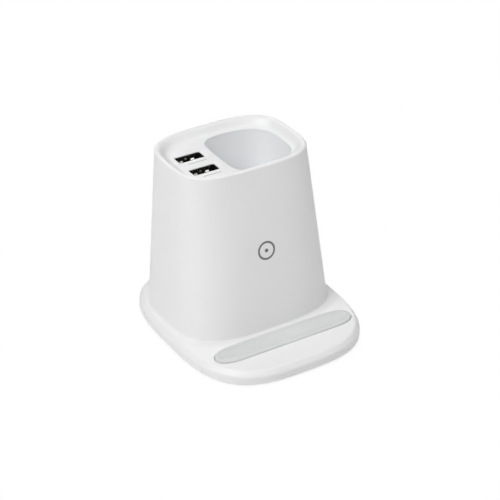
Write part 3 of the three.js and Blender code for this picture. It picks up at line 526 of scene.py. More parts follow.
shell = housing_skin()
inside = [rod("boss", x, y, boss_bottom, boss_top, boss_radius) for x, y in boss_places]
posts = [(-post_reach, post_reach), (-post_reach, -post_reach), (post_reach, -post_reach)]
inside += [wall_rod("post", x, y, post_start, post_depth, post_radius) for x, y in posts]
backing = [ledge_ring(-ledge_backing) for _ in range(2)]
backing[0][:, 2] = ledge_floor - ledge_backing
backing[1][:, 2] = base_surface(backing[1][:, 0], backing[1][:, 1]) - wall / 2
inside.append(loft("backing", backing))
carve(shell, "UNION", *inside)
cuts = [cutter_with_lip("recess", ledge_ring, base_surface, ledge_floor, ledge_lip)]
cuts += [rod("hole", x, y, boss_bottom - past, boss_bottom + boss_hole_depth, boss_hole_radius, 24)
         for x, y in boss_places]
cuts += [wall_rod("hole", x, y, post_depth - post_hole_depth, post_depth + past, post_hole_radius)
         for x, y in posts]


def slot_ring(inset):
    """The inlet slot's outline, with round ends, laid flat."""
    angle = full_turn(inlet_points)
    radius, run = inlet_half[1] - inset, inlet_half[0] - inlet_half[1]
    x = radius * np.cos(angle) + run * np.sign(np.cos(angle))
    return np.column_stack([x, radius * np.sin(angle), np.zeros(inlet_points)])


slot = cutter_with_lip("slot", slot_ring, lambda x, y: np.zeros(len(x)), -2 * wall, inlet_lip)
slot.data.transform(at((0, rear_edge, inlet_middle)) @ Matrix.Rotation(-math.pi / 2, 4, "X"))
cuts.append(slot)
carve(shell, "DIFFERENCE", *cuts)


def moulded_white(start):
    """White plastic from a spark-eroded mould: a satin grain and a very slight unevenness."""
    broad = noise(start, 30, 3)
    grain = noise(start, 2400, 2)
    return {"Base Color": broad.within(0.35, 0.65).mix(white_warm, white),
            "Roughness": broad * 0.08 + grain * 0.06 + 0.36,
            "Normal": bump(start, grain, 0.012)}


def housing_white(start):
    """The same plastic with the ring printed where the coil lies, and painted shade that darkens the
    base along the front foot of the wall, where the wall shades it."""
    plain = moulded_white(start)
    x, y, z = axes(start)
    up_wall = (z - ring_height * mm) / math.cos(lean)
    radius = (x * x + up_wall * up_wall) ** 0.5 / mm
    line = 1 - (abs(radius - ring_radius) - ring_line).within(-ring_soft, ring_soft)
    dot = 1 - (radius - ring_dot).within(-ring_soft, ring_soft)
    front = start.maths("LESS_THAN", y, 0.0)
    printed = start.maths("MAXIMUM", line, dot) * front
    # Painted shade: the base turns a darker white along the front foot of the wall, where the wall
    # shades it.
    across = abs(x / (foot_half[0] * mm)) ** foot_squareness[0]
    along = abs((y - foot_middle * mm) / (foot_half[1] * mm)) ** foot_squareness[0]
    dust_and_shade = (across + along).within(foot_shade_end, 1.0) * z.within(foot_shade_top * mm, base_top * mm) \
        * y.within(foot_shade_from * mm, foot_shade_to * mm)
    colour = dust_and_shade.mix(plain["Base Color"], painted_shade_white)
    return {**plain, "Base Color": printed.mix(colour, ring_ink)}


white_plastic = finish("white_plastic", moulded_white, IOR=1.46)
fit(shell, finish("white_plastic_with_ring", housing_white, IOR=1.46), "housing_shell", "housing")


# Top insert: one moulding of the same plastic that drops into the housing's mouth. It is a sloping
# band inside the rim, the level deck with an opening for each port, and the pen well.
deck_height = 85.0
deck_under = 83.2
deck_middle = (deck_height + deck_under) / 2
deck_corner_inset = 5.3
deck_round = 2.0
deck_round_steps = 12
brow_inset = 2.8
brow_height = 88.5
brow_round = 1.3
brow_steps = 8
insert_inset = 1.72
insert_neck_inset = 3.05
insert_land_inset = 1.9
insert_edge = 0.06
band_width = 6.37
well_middle = 11.015
well_reach = 17.465
well_squareness = 4.4
well_floor = 21.0
well_wall = 1.8
well_draft = 1.1
well_floor_round = 3.0
well_floor_steps = 8
well_side_steps = 12
well_lip = 0.7
well_points = 220
port_x = -18.5
port_places = (22.8, 8.9)
port_half = (6.85, 3.06)
port_corner = 0.8
port_lip = 0.2
port_post_places = (0.575, 30.075)
cool_white = (0.872, 0.874, 0.879, 1)
painted_light_white = (0.962, 0.967, 0.98, 1)
painted_light_depth = 1.5
label_gap = 2.8
label_right = 1.0
label_half = (4.85, 0.2)
label_soft = 0.05
label_depth = 0.01
label_grey = (0.34, 0.34, 0.35, 1)
port_board_top = 70.9
port_post_hole = 3.55

# The band's profile, as insets and heights: from the rim over a soft brow and down to the deck.
slope = [np.array([[inset, 0, height]]) for inset, height in
         ((deck_corner_inset + 3 * deck_round, deck_height), (deck_corner_inset, deck_height),
          (brow_inset, brow_height), (insert_land_inset, land_height))]
bowl = np.concatenate(bend(*slope[:3], deck_round, deck_round_steps)
                      + bend(*slope[1:], brow_round, brow_steps) + [slope[3]])[::-1, [0, 2]]


def insert_surface(x, y):
    """Height of the insert's upper surface over a place."""
    low, high = np.zeros(len(x)), np.full(len(x), 20.0)
    for _ in range(halvings):
        inset = (low + high) / 2
        half = (rim_half[0] - inset, rim_half[1] - inset)
        hit = how_far(x, y - rim_middle, half, rim_squareness) < 1
        low, high = np.where(hit, inset, low), np.where(hit, high, inset)
    return np.interp(low, bowl[:, 0], bowl[:, 1])


def well_ring(inset, z=0.0):
    half = (rim_half[0] - band_width - inset, rim_half[1] - band_width - inset)

    def inside(x, y):
        band = how_far(x, y - rim_middle, half, rim_squareness)
        left = np.maximum(0, (well_middle - x) / (well_reach - inset))
        return band ** well_squareness + left ** well_squareness < 1

    return ray_ring(inside, (well_middle, rim_middle), full_turn(well_points), z)


def rounded_ring(half, radius, inset=0.0, z=0.0, steps=6):
    """A rectangle with round corners."""
    points = []
    for i, (sx, sy) in enumerate([(1, 1), (-1, 1), (-1, -1), (1, -1)]):
        for k in range(steps + 1):
            angle = math.pi / 2 * (i + k / steps)
            points.append((sx * (half[0] - radius) + (radius - inset) * math.cos(angle),
                           sy * (half[1] - radius) + (radius - inset) * math.sin(angle), z))
    return np.array(points)


plug = [rim_ring(insert_neck_inset, deck_under), rim_ring(insert_neck_inset, seat_height),
        rim_ring(insert_inset, seat_height)]
plug += bend(plug[-1], rim_ring(insert_inset, land_height), rim_ring(insert_land_inset, land_height),
             insert_edge, 2)
plug += [rim_ring(inset, height) for inset, height in bowl]
insert = loft("insert_shell", plug)
tube = [well_ring(well_draft - well_wall + well_floor_round / 2, well_floor - well_wall),
        well_ring(well_draft - well_wall, well_floor + well_floor_round / 2),
        well_ring(-well_wall, deck_middle)]
carve(insert, "UNION", loft("tube", tube),
      *[rod("post", port_x, y, port_board_top, deck_middle, post_radius)
        for y in port_post_places])
hollow = []
for i in range(well_floor_steps + 1):
    angle = math.pi / 2 * i / well_floor_steps
    hollow.append(well_ring(well_draft + well_floor_round * (1 - math.sin(angle)),
                            well_floor + well_floor_round * (1 - math.cos(angle))))
hollow += between(hollow[-1], well_ring(0, deck_height - well_lip), well_side_steps)
cuts = [cutter_with_lip("hollow", well_ring, insert_surface, hollow, well_lip)]
for y in port_places:
    mouth = cutter_with_lip("mouth", lambda inset: rounded_ring(port_half, port_corner, inset),
                            lambda x, y: np.full(len(x), deck_height), deck_under - past, port_lip)
    mouth.data.transform(at((port_x, y, 0)))
    cuts.append(mouth)
cuts += [rod("hole", port_x, y, port_board_top - past, port_board_top + port_post_hole,
             post_hole_radius, 24) for y in port_post_places]
carve(insert, "DIFFERENCE", *cuts)


def insert_white(start):
    """A cooler batch of the same plastic, from a smoother mould, with painted light below the deck: a
    brighter, bluer white in the well and the port mouths."""
    broad = noise(start, 30, 3)
    grain = noise(start, 2400, 2)
    x, y, z = axes(start)
    # Painted light: below the deck the white turns brighter and bluer, standing in for the light in
    # the well.
    depth = (deck_height * mm - z).within(0.0, painted_light_depth * mm)
    label = z.within((deck_height - 2 * label_depth) * mm, (deck_height - label_depth) * mm)
    near = [abs(y - (place - port_half[1] - label_gap) * mm) for place in port_places]
    beside = abs(x - (port_x + label_right) * mm)
    for offset, half in zip((beside, near[0].maths("MINIMUM", *near)), label_half):
        label = label * offset.within((half + label_soft) * mm, (half - label_soft) * mm)
    plain = (depth - broad * 0.15).mix(cool_white, painted_light_white)
    return {"Base Color": label.mix(plain, label_grey),
            "Roughness": broad * 0.06 + grain * 0.05 + 0.3,
            "Normal": bump(start, grain, 0.008)}


fit(insert, finish("cool_white_plastic", insert_white, IOR=1.46), "insert_shell", "top_insert")


# Grip pad: a strip of pale silicone, moulded with a fine raised line inside its edge, pressed into
# the recess and glued down. Its top stands a hair proud of the base and falls forward with it.
pad_gap = 0.2
pad_rise = 0.42
pad_slope = 1.0 / 26.1
pad_back_y = -25.15
pad_front_y = -37.0
pad_round_back = 0.9
pad_round_front = 1.4
pad_round_depth = 0.5
pad_round_steps = 7
pad_line_inset = 2.0
pad_line_half = 0.45
pad_line_height = 0.26
pad_line_steps = 8
silicone_pale = (0.71, 0.722, 0.716, 1)
silicone_deep = (0.64, 0.653, 0.646, 1)
wall_shade_share = 0.7


def pad_ring(across, down):
    """across runs from the edge inwards in shares of the local rounding, or in mm beyond it."""
    flat = ledge_ring(0)
    front = np.clip((ledge_middle[1] - flat[:, 1]) / ledge_half[1] * 0.5 + 0.5, 0, 1)
    local = pad_round_back + (pad_round_front - pad_round_back) * front ** 2
    ends = np.array([ledge_ring(pad_gap + float(inset))[i]
                     for i, inset in enumerate(local * min(across, 1) + max(across - 1, 0))])
    ends[:, 2] = base_top + pad_rise - (pad_back_y - ends[:, 1]) * pad_slope - down
    return ends


rings = [ledge_ring(pad_gap) + (0, 0, ledge_floor)]
for i in range(pad_round_steps + 1):
    angle = math.pi / 2 * i / pad_round_steps
    rings.append(pad_ring(1 - math.cos(angle), pad_round_depth * (1 - math.sin(angle))))
for i in range(pad_line_steps + 1):
    share = 2 * i / pad_line_steps - 1
    lift = pad_line_height * math.cos(share * math.pi / 2) ** 2
    rings.append(pad_ring(pad_line_inset + share * pad_line_half, -lift))
pad = loft("grip_strip", rings)


def silicone(start):
    """Matt silicone with a fine even bloom, a few fingers' worth of unevenness, and painted shade
    that darkens it towards the back by the wall, so that it is paler towards the front."""
    cloud = noise(start, 90, 4)
    grain = noise(start, 3000, 1)
    # Painted shade: darker towards the back of the pad, by the wall, and paler towards the front.
    pale_lit = axes(start)[1].within(pad_back_y * mm, pad_front_y * mm) * wall_shade_share
    pale = pale_lit + cloud.within(0.35, 0.7) * (1 - wall_shade_share)
    return {"Base Color": pale.mix(silicone_deep, silicone_pale),
            "Roughness": cloud * 0.1 + 0.55, "Normal": bump(start, grain, 0.01)}


fit(pad, finish("pale_silicone", silicone, IOR=1.41), "silicone", "grip_pad")


# Ports: each is a socket folded from black nickelled steel, with two sprung fingers on each long side
# that are pale on the bow, partly worn where the plug rubs and partly painted glints, and a clinched
# seam in the rear side that carries a painted glint.
shell_half = (6.75, 2.9)
shell_corner = 0.7
shell_wall = 0.3
shell_edge = 0.1
shell_top = 84.7
shell_bottom = 70.9
finger_places = (-3.35, 2.8)
finger_width = 2.4
finger_window = 3.0
finger_top = 0.7
finger_flat = 0.6
finger_drop = 0.12
finger_line = ((0.0, 0.0), (0.6, 0.03), (1.1, 0.1), (1.4, 0.25), (1.7, 0.55), (2.0, 0.85),
               (2.3, 1.0), (2.9, 0.98), (4.0, 0.75), (4.8, 0.4), (5.6, 0.12), (6.2, 0.0))
finger_bulge = 0.85
window_low, window_high = 6.4, 0.6
window_half = 0.45
# Pale bows on the fingers are partly wear where the plug rubs and partly painted glints, with one
# strip brighter than the other. The clinch carries a painted glint.
wear_glint_from = 1.4
wear_glint_to = 2.4
wear_glint_share = (0.6, 1.0)
clinch = (-0.6, 2.0)
clinch_radius = 0.7
clinch_depth = 0.3
clinch_glint = 0.52
clinch_line = ((1.0, -0.3), (1.0, 0.0), (0.8, 0.6), (0.45, 0.95), (0.15, 1.0))
clinch_points = 24
bright_from = 0.45
bright_to = 0.75
nickel_black = (0.05, 0.049, 0.046, 1)
nickel_rubbed_glint = (0.83, 0.815, 0.775, 1)


def box_rings(low, high, edge):
    """The four rings of a box whose edges are softened."""
    half = ((high[0] - low[0]) / 2, (high[1] - low[1]) / 2)
    middle = ((high[0] + low[0]) / 2, (high[1] + low[1]) / 2, 0)
    levels = ((edge, low[2]), (0, low[2] + edge), (0, high[2] - edge), (edge, high[2]))
    return [rounded_ring(half, edge, inset, z, 2) + middle for inset, z in levels]


def soft_block(name, low, high, edge=0.12):
    return loft(name, box_rings(low, high, edge))


def finger(side, across):
    """A sprung strip: both ends lie in the wall, and its bow stands in below the mouth. Its upper
    corners are clipped."""
    outline = [(-1, -1), (-finger_flat, -1), (finger_flat, -1), (1, -1)]
    outline += [(u, 0) for u, _ in outline[::-1]]
    rings = []
    for down, inward in finger_line:
        y = shell_half[1] - finger_bulge * inward
        z = shell_top - finger_top - down
        clip = finger_drop if down == 0 else 0
        ring = [(port_x + across + u * finger_width / 2, side * (y + v * shell_wall),
                 z - clip * (abs(u) == 1)) for u, v in outline]
        rings.append(np.array(ring)[::side])
    return rings[::-1]


def finger_wear_and_glint(ring, corner):
    """A pale patch in the middle of a strip where its bow stands out: partly wear where the plug
    rubs, partly a painted glint, brighter on the right strips.
    """
    down = shell_top - finger_top - ring[:, 2].mean()
    pale_lit = wear_glint_from <= down <= wear_glint_to and corner % 4 in (1, 2)
    return wear_glint_share[int(ring[:, 0].mean() > port_x)] * pale_lit


def clinch_lens():
    """The round dimple that locks the folded seam, on the inside of the rear side."""
    angle = full_turn(clinch_points)
    inside = shell_half[1] - shell_wall
    return [np.column_stack([port_x + clinch[0] + share * clinch_radius * np.cos(angle),
                             np.full(clinch_points, inside - out * clinch_depth),
                             shell_top - clinch[1] + share * clinch_radius * np.sin(angle)])
            for share, out in clinch_line]


def port_metal(start):
    """Black nickel, with pale steel on the fingers' bows and on the clinch: partly worn through,
    partly painted glints.
    """
    mist = noise(start, 900, 3)
    wear_and_glint = start.node("ShaderNodeAttribute", {"attribute_name": "wear_and_glint"}, output="Fac")
    bright = (wear_and_glint + mist * 0.3 - 0.15).within(bright_from, bright_to)
    return {"Base Color": bright.mix(nickel_black, nickel_rubbed_glint),
            "Roughness": 0.42 - bright * 0.2 + mist * 0.1,
            "Normal": bump(start, mist, 0.01)}


black_nickel = finish("black_nickel", port_metal, Metallic=1.0)
levels = [(0.0, shell_bottom), (0.0, shell_top - shell_edge), (shell_edge, shell_top),
          (shell_wall - shell_edge, shell_top), (shell_wall, shell_top - shell_edge),
          (shell_wall, shell_bottom)]
sides = [rounded_ring(shell_half, shell_corner, *level) for level in levels]
fingers_at = [(x, side) for x in finger_places for side in (-1, 1)]
strips = [finger(side, x) for x, side in fingers_at]
lens = clinch_lens()
wear_and_glint = [finger_wear_and_glint(ring, corner) for strip in strips for ring in strip
        for corner in range(len(ring))]
# Painted glint on the clinch dimple.
wear_and_glint += [clinch_glint] * len(lens) * clinch_points
for number, y in enumerate(port_places, 1):
    tube = loft(f"port_{number}_sleeve", sides, closed=True)
    windows = []
    for x, side in fingers_at:
        middle = side * (shell_half[1] - shell_wall / 2)
        low = (x - finger_window / 2, middle - window_half, shell_top - window_low)
        high = (x + finger_window / 2, middle + window_half, shell_top - window_high)
        windows.append(soft_block("window", low, high))
    carve(tube, "DIFFERENCE", *windows)
    tube.data.transform(at((port_x, y, 0)))
    fit(tube, black_nickel, "port_metal", f"port_{number}_shell")
    fingers = lofts(f"port_{number}_fingers", strips + [lens])
    fingers.data.transform(at((0, y, 0)))
    layer = fingers.data.attributes.new("wear_and_glint", "FLOAT", "POINT")
    layer.data.foreach_set("value", wear_and_glint)
    fit(fingers, black_nickel, "port_metal", f"port_{number}_shell")


# Port tongues: a block of glass-filled black nylon, dry and faintly mottled, at the bottom of each
# socket, with a blade standing on it. Four contacts with a gold flash lie in the blade's rear face,
# bent over at the top.
tongue_half = (5.55, 0.92)
tongue_offset = -0.75
tongue_top = 82.85
block_half = (6.1, 2.41)
block_top = 75.3
blade_root = 73.1
blade_edge = 0.25
contact_pitch = 2.35
contact_half = 0.55
contact_top = 81.9
contact_line = ((0.25, 0.5), (0.12, 0.15), (-0.02, 0.0), (-0.02, 0.3))


def grained(name, scale, detail, dark, pale, roughness, depth, span=(0.0, 1.0), **settings):
    """A finish that wavers between two colours as one noise does over a part of its span. So do its
    relief and its roughness, which starts at a value and grows by a second one."""
    def build(start):
        grain = noise(start, scale, detail)
        return {"Base Color": grain.within(*span).mix((*dark, 1), (*pale, 1)),
                "Roughness": grain * roughness[1] + roughness[0],
                "Normal": bump(start, grain, depth)}
    return finish(name, build, **settings)


nylon_black = grained("black_nylon", 1200, 3, (0.02, 0.02, 0.019), (0.034, 0.033, 0.031),
                      (0.42, 0.15), 0.015)
gold_flash = grained("gold_flash", 700, 3, (0.83, 0.6, 0.26), (0.88, 0.72, 0.42), (0.2, 0.15),
                     0.006, (0.3, 0.7), Metallic=1.0)
for number, y in enumerate(port_places, 1):
    base = soft_block(f"port_{number}_blade",
                      (port_x - block_half[0], y - block_half[1], shell_bottom),
                      (port_x + block_half[0], y + block_half[1], block_top))
    middle = y + tongue_offset
    rear = middle + tongue_half[1]
    blade = soft_block("blade", (port_x - tongue_half[0], middle - tongue_half[1], blade_root),
                       (port_x + tongue_half[0], rear, tongue_top), blade_edge)
    carve(base, "UNION", blade)
    fit(base, nylon_black, "port_plastic", f"port_{number}_tongue")
    outline = [(contact_line[0][0], block_top)]
    outline += [(out, contact_top - down) for out, down in contact_line] + [(0.0, block_top)]
    for k in range(4):
        x = port_x + (k - 1.5) * contact_pitch
        rings = [np.array([(x + side * contact_half, rear + out, z) for out, z in outline])
                 for side in (1, -1)]
        fit(loft(f"port_{number}_gilt_{k + 1}", rings), gold_flash, "contact_gold",
            f"port_{number}_contact_{k + 1}")


# Power inlet: a low steel sleeve with round ends at the back, with a thin tongue in it that carries
# a row of gilt contacts. It is soldered to the main board.
inlet_sleeve = (4.47, 1.63)
inlet_corner = 1.58
inlet_wall = 0.3
inlet_edges = (0.1, 0.06)
inlet_depth = 9.2
inlet_mouth = rear_edge - 0.6
inlet_tongue_half = (3.35, 0.35)
inlet_tongue_length = 8.0
inlet_block_length = 3.2
inlet_contact_pitch = 0.5
inlet_contact_half = 0.14
inlet_contact_rise = 0.05
inlet_contact_reach = 7.2
inlet_core_half = (4.07, 1.23)
inlet_core_corner = 1.13
steel_dark = (0.5, 0.5, 0.51, 1)
steel_pale = (0.62, 0.62, 0.63, 1)


def face_back(piece):
    """Turns a piece made on end so that it points out of the rear wall."""
    root = at((0, inlet_mouth - inlet_depth, inlet_middle))
    piece.data.transform(root @ Matrix.Rotation(-math.pi / 2, 4, "X"))
    return piece


def brushed_steel(start):
    """Drawn steel: faint lines along the draw, and a soft even shine."""
    spread = start.node("ShaderNodeVectorMath", {"operation": "MULTIPLY"},
                        {0: place_of(start), 1: (1, 0.05, 1)})
    lines = start.node("ShaderNodeTexNoise", (), {"Vector": spread, "Scale": 6000, "Detail": 2})
    return {"Base Color": lines.mix(steel_dark, steel_pale),
            "Roughness": lines * 0.2 + 0.24, "Normal": bump(start, lines, 0.004)}


plain_steel = finish("plain_steel", brushed_steel, Metallic=1.0)
outer, inner = inlet_edges
levels = [(0.0, 0.0), (0.0, inlet_depth - outer), (outer, inlet_depth),
          (inlet_wall - inner, inlet_depth), (inlet_wall, inlet_depth - inner), (inlet_wall, 0.0)]
sleeve = loft("inlet_sleeve", [rounded_ring(inlet_sleeve, inlet_corner, *level, 10)
                               for level in levels], closed=True)
fit(face_back(sleeve), plain_steel, "inlet_steel", "inlet_shell")
block = loft("inlet_core", [rounded_ring(inlet_core_half, inlet_core_corner, 0, z, 8)
                            for z in (0, inlet_block_length)])
tongue = soft_block("tongue", (-inlet_tongue_half[0], -inlet_tongue_half[1], 0),
                    (inlet_tongue_half[0], inlet_tongue_half[1], inlet_tongue_length), 0.12)
carve(block, "UNION", tongue)
fit(face_back(block), nylon_black, "inlet_plastic", "inlet_tongue")
rows = []
for side in (-1, 1):
    inner = side * (inlet_tongue_half[1] - 3 * inlet_contact_rise)
    outer = side * (inlet_tongue_half[1] + inlet_contact_rise)
    for k in range(12):
        x = (k - 5.5) * inlet_contact_pitch
        low = (x - inlet_contact_half, min(inner, outer), inlet_block_length)
        high = (x + inlet_contact_half, max(inner, outer), inlet_contact_reach)
        rows.append(box_rings(low, high, 0.03))
fit(face_back(lofts("inlet_gilt_rows", rows)), gold_flash, "contact_gold")


# Bottom cover: a flat moulded plate inside the base's skirt, held by four screws from below. Four
# posts on it carry the main board, and shallow rings take the feet.
cover_inset = 2.35
cover_edge = 0.3
cover_top = 2.8
main_post_places = [(x, y) for x in (-18.0, 18.0) for y in (0.5, 27.0)]
main_post_bottom = 1.8
main_post_top = 9.6
main_post_hole = 5.0
foot_places = [(x, y) for x in (-28.0, 28.0) for y in (-37.0, 38.0)]
foot_ring_radius = 5.15
foot_ring_top = 1.8
sink_radius = 3.0
sink_top = 2.0

panel = loft("bottom_panel", [base_ring(cover_inset + cover_edge, base_bottom),
                              base_ring(cover_inset, base_bottom + cover_edge),
                              base_ring(cover_inset, cover_top - cover_edge),
                              base_ring(cover_inset + cover_edge, cover_top)])
carve(panel, "UNION", *[rod("post", x, y, main_post_bottom, main_post_top, post_radius)
                        for x, y in main_post_places])
cuts = [rod("ring", x, y, 0, foot_ring_top, foot_ring_radius, 64) for x, y in foot_places]
cuts += [rod("sink", x, y, 0, sink_top, sink_radius, 64) for x, y in boss_places]
cuts += [rod("hole", x, y, 0, cover_top + past, boss_hole_radius, 32) for x, y in boss_places]
cuts += [rod("hole", x, y, main_post_top - main_post_hole, main_post_top + past,
             post_hole_radius, 24) for x, y in main_post_places]
carve(panel, "DIFFERENCE", *cuts)
fit(panel, white_plastic, "cover_plastic", "bottom_cover")


# Feet: four discs of dark grey rubber with a dusty bloom, a rounded rim and a dished underside, glued
# into their rings.
foot_profile = [(3.0, 0.18), (3.4, 0.06), (3.7, 0.0), (4.5, 0.0), (4.78, 0.06), (4.94, 0.22),
                (5.0, 0.45), (5.0, 1.8)]

dark_rubber = grained("dark_rubber", 260, 4, (0.035, 0.035, 0.036), (0.07, 0.07, 0.069),
                      (0.72, 0.15), 0.03, (0.3, 0.75), IOR=1.5)
for number, (x, y) in enumerate(foot_places, 1):
    foot = turned(f"rubber_foot_{number}", foot_profile, x, y)
    fit(foot, dark_rubber, "foot_rubber", f"foot_{number}")


# Screws: pan heads with a cross slot and a rolled thread. Four large ones hold the cover, and small
# ones hold the boards and the coil's carrier.
def screw(name, thread, length, head, rise, count=32):
    """A screw that stands on its tip, with the seat of its head at zero."""
    profile = [(thread * 0.2, -length), (thread * 0.4, -length + thread * 0.35)]
    pitch = thread * 0.35
    for k in range(int((length - thread) / pitch)):
        z = -length + thread * 0.45 + k * pitch
        profile += [(thread * 0.4, z), (thread * 0.5, z + pitch / 2)]
    profile += [(thread * 0.4, -0.3), (thread * 0.4, 0), (head * 0.5, 0), (head * 0.5, rise * 0.35),
                (head * 0.46, rise * 0.65), (head * 0.36, rise * 0.9), (head * 0.25, rise)]
    body = turned(name, profile, 0, 0, count)
    half, thin, floor_at = head * 0.31, head * 0.08, rise * 0.35
    for reach in ((half, thin), (thin, half)):
        carve(body, "DIFFERENCE", soft_block("slot", (-reach[0], -reach[1], floor_at),
                                             (reach[0], reach[1], rise + 1), 0.05))
    return body


def place_screw(name, sizes, where, spin, node):
    piece = screw(name, *sizes)
    piece.data.transform(at(where) @ spin)
    fit(piece, plain_steel, "screw_steel", node)


head_down = Matrix.Rotation(math.pi, 4, "X")
cover_screw = (2.9, 9.0, 5.4, 1.2)
board_screw = (1.9, 5.0, 3.6, 1.1)
board_thick = 1.6
for number, (x, y) in enumerate(boss_places, 1):
    place_screw(f"cover_fixing_{number}", cover_screw, (x, y, sink_top), head_down,
                f"cover_screw_{number}")
for number, y in enumerate(port_post_places, 1):
    place_screw(f"port_board_fixing_{number}", board_screw, (port_x, y, port_board_top - board_thick),
                head_down, f"port_board_screw_{number}")
for number, (x, y) in enumerate(main_post_places, 1):
    place_screw(f"main_board_fixing_{number}", board_screw, (x, y, main_post_top + board_thick),
                Matrix.Identity(4), f"main_board_screw_{number}")
for number, (x, y) in enumerate(posts, 1):
    place_screw(f"coil_fixing_{number}", board_screw, on_wall(x, y, post_depth + board_thick),
                off_wall, f"coil_screw_{number}")


# Boards: glass-fibre laminate with a green mask, its tracks showing as faint ridges. Plugs of
# ivory nylon sit on both.
board_green = (0.012, 0.075, 0.035, 1)
track_green = (0.03, 0.15, 0.07, 1)


def circuit_board(start):
    tracks = start.node("ShaderNodeTexBrick", {"offset": 0.37},
                        {"Vector": place_of(start), "Scale": 900, "Mortar Size": 0.03,
                         "Color1": (0, 0, 0, 1), "Color2": (0.1, 0.1, 0.1, 1),
                         "Mortar": (1, 1, 1, 1)}, output="Fac")
    weave = noise(start, 500, 3)
    return {"Base Color": (tracks * 0.6 + weave * 0.3).mix(board_green, track_green),
            "Roughness": weave * 0.15 + 0.28, "Normal": bump(start, tracks, 0.03)}


def repaint(material, *nodes):
    """A carried-over solid keeps its shape and gets a better finish."""
    for node in nodes:
        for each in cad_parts[node].material_slots:
            each.material = material


repaint(finish("green_board", circuit_board, IOR=1.5), "port_board", "main_board")
repaint(grained("ivory_nylon", 400, 3, (0.8, 0.78, 0.7), (0.86, 0.84, 0.78), (0.45, 0.1), 0.01,
                IOR=1.53), "port_plug", "main_plug", "coil_carrier")


# Ribbon: a flat grey cable of twelve cores in one film, with a slack bow so that the housing can be
# lowered over the boards.
ribbon_x = -15.5
ribbon_y = 15.325
ribbon_half = 6.0
ribbon_low, ribbon_high = 15.0, 65.5
ribbon_bow = 3.5
ribbon_thick = 0.5
ribbon_edge = 0.2
ribbon_cores = 12
ribbon_steps = 60
film_dark = (0.3, 0.31, 0.33, 1)
film_pale = (0.45, 0.46, 0.48, 1)


def ribbon_film(start):
    """Translucent grey film with the cores as darker stripes."""
    stripe = start.maths("SINE", axes(start)[1] * (ribbon_cores * math.pi / (ribbon_half * mm)))
    dust_and_shade = noise(start, 300, 3)
    return {"Base Color": (stripe * 0.5 + 0.5).mix(film_dark, film_pale),
            "Roughness": dust_and_shade * 0.2 + 0.4, "Normal": bump(start, stripe, 0.08)}


rings = []
for i in range(ribbon_steps + 1):
    share = i / ribbon_steps
    x = ribbon_x - ribbon_bow * math.sin(math.pi * share) ** 2
    ring = rounded_ring((ribbon_thick / 2, ribbon_half), ribbon_edge, 0, 0, 3)
    rings.append(ring + (x, ribbon_y, ribbon_low + (ribbon_high - ribbon_low) * share))
fit(loft("flat_cable", rings), finish("ribbon_film", ribbon_film, IOR=1.5), "ribbon_film",
    "board_ribbon")


# Electronics: chips in sanded black resin, inductors of porous grey ferrite and capacitors in drawn
# aluminium cans, soldered to the main board.
resin_black = grained("black_resin", 1500, 3, (0.014, 0.014, 0.015), (0.03, 0.03, 0.031),
                      (0.5, 0.2), 0.02, IOR=1.55)
ferrite_grey = grained("grey_ferrite", 1100, 4, (0.02, 0.021, 0.023), (0.06, 0.061, 0.065),
                       (0.5, 0.25), 0.04, IOR=1.8)
can_metal = grained("drawn_can", 600, 3, (0.55, 0.56, 0.57), (0.7, 0.71, 0.72), (0.25, 0.15),
                    0.006, Metallic=1.0)
repaint(resin_black, "power_chip", "coil_chip")
repaint(ferrite_grey, "inductor_1", "inductor_2", "ferrite_plate")
repaint(can_metal, "capacitor_1", "capacitor_2", "capacitor_3")


# Charging coil: nine flat turns of copper litz behind the front wall, on a ferrite sheet in a round
# tray. Its two leads run down to the main board.
coil_inner = 10.5
coil_outer = 21.75
coil_pitch = 1.25
coil_turns = 9
coil_steps = 72
coil_near = 1.86
wire_half = (0.4, 0.5)
wire_edge = 0.3
lead_radius = 0.5
lead_gap = 0.3
lead_steps = 10
lead_across = 2.5
tray_radius = 25.8
tray_front = 4.16
lead_land = (-2.0, 11.5)
copper_dark = (0.32, 0.12, 0.045, 1)
copper_pale = (0.62, 0.27, 0.12, 1)


def litz(start):
    """Twisted enamelled strands: fine slanting ridges in two browns."""
    strands = start.node("ShaderNodeTexWave", {"bands_direction": "DIAGONAL"},
                         {"Vector": place_of(start), "Scale": 700, "Distortion": 1.5}, output=1)
    return {"Base Color": strands.mix(copper_dark, copper_pale),
            "Roughness": strands * 0.15 + 0.28, "Normal": bump(start, strands, 0.06)}


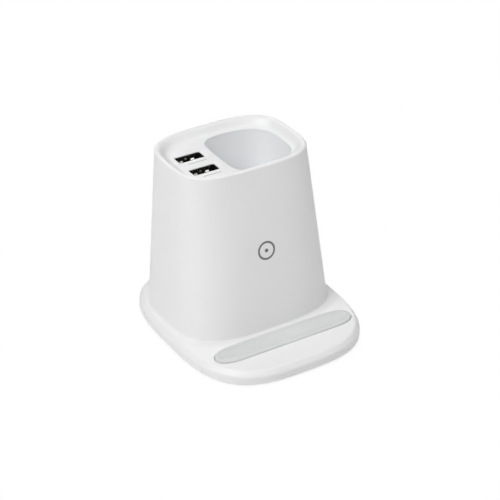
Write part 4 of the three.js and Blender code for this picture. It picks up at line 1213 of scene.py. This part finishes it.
rings = []
for i in range(coil_turns * coil_steps + 1):
    angle = -math.pi / 2 + 2 * math.pi * i / coil_steps
    middle = coil_inner + coil_pitch * i / coil_steps
    section = rounded_ring(wire_half, wire_edge, 0, 0, 3)
    rings.append(np.array([on_wall((middle - u) * math.cos(angle), (middle - u) * math.sin(angle),
                                   coil_near + wire_half[1] - v) for u, v, _ in section]))
fit(loft("litz_spiral", rings), finish("copper_litz", litz, Metallic=1.0), "coil_copper",
    "charging_coil")


def hose(name, stops, radius, count=12):
    """A round lead on a smooth curve through its stops."""
    stops = [np.array(p, float) for p in stops]
    path = [2 * stops[0] - stops[1]] + stops + [2 * stops[-1] - stops[-2]]
    line = []
    for a, b, c, d in zip(path, path[1:], path[2:], path[3:]):
        for t in np.linspace(0, 1, lead_steps, endpoint=False):
            line.append(0.5 * (2 * b + (c - a) * t + (2 * a - 5 * b + 4 * c - d) * t * t
                               + (3 * b - a - 3 * c + d) * t ** 3))
    line.append(stops[-1])
    rings, side = [], np.array([1.0, 0, 0])
    for i, point in enumerate(line):
        run = line[min(i + 1, len(line) - 1)] - line[max(i - 1, 0)]
        run = run / np.linalg.norm(run)
        side = side - run * side.dot(run)
        side = side / np.linalg.norm(side)
        over = np.cross(run, side)
        angle = full_turn(count)
        rings.append(point + radius * (np.outer(np.cos(angle), side)
                                       + np.outer(np.sin(angle), over)))
    return loft(name, rings)


mid = coil_near + wire_half[1]
front = coil_near - lead_gap - lead_radius
outer_end = [(lead_gap, -coil_outer, mid), (lead_across, -coil_outer - coil_pitch, mid),
             (lead_across, -tray_radius, mid)]
inner_end = [(-lead_gap, -coil_inner, mid), (-lead_across, -coil_inner, front),
             (-lead_across, -coil_outer, front)]
leads = (("lead_red", 1, outer_end, (0.3, 0.03, 0.02), (0.42, 0.05, 0.035)),
         ("lead_white", -1, inner_end, (0.72, 0.71, 0.67), (0.8, 0.79, 0.76)))
for number, (slot_name, side, stops, dark, pale) in enumerate(leads, 1):
    route = [on_wall(*stop) for stop in stops]
    route.append(on_wall(side * lead_across, -tray_radius - 2 * coil_pitch, tray_front))
    route += [(side * lead_across, lead_land[0] + dy, lead_land[1] + dz)
              for dy, dz in ((-6, 2), (0, 2), (0, 0))]
    sheath = grained(f"{slot_name}_sheath", 350, 3, dark, pale, (0.42, 0.15), 0.01, IOR=1.5)
    fit(hose(f"lead_{number}", route, lead_radius), sheath, slot_name, f"coil_lead_{number}")


low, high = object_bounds()
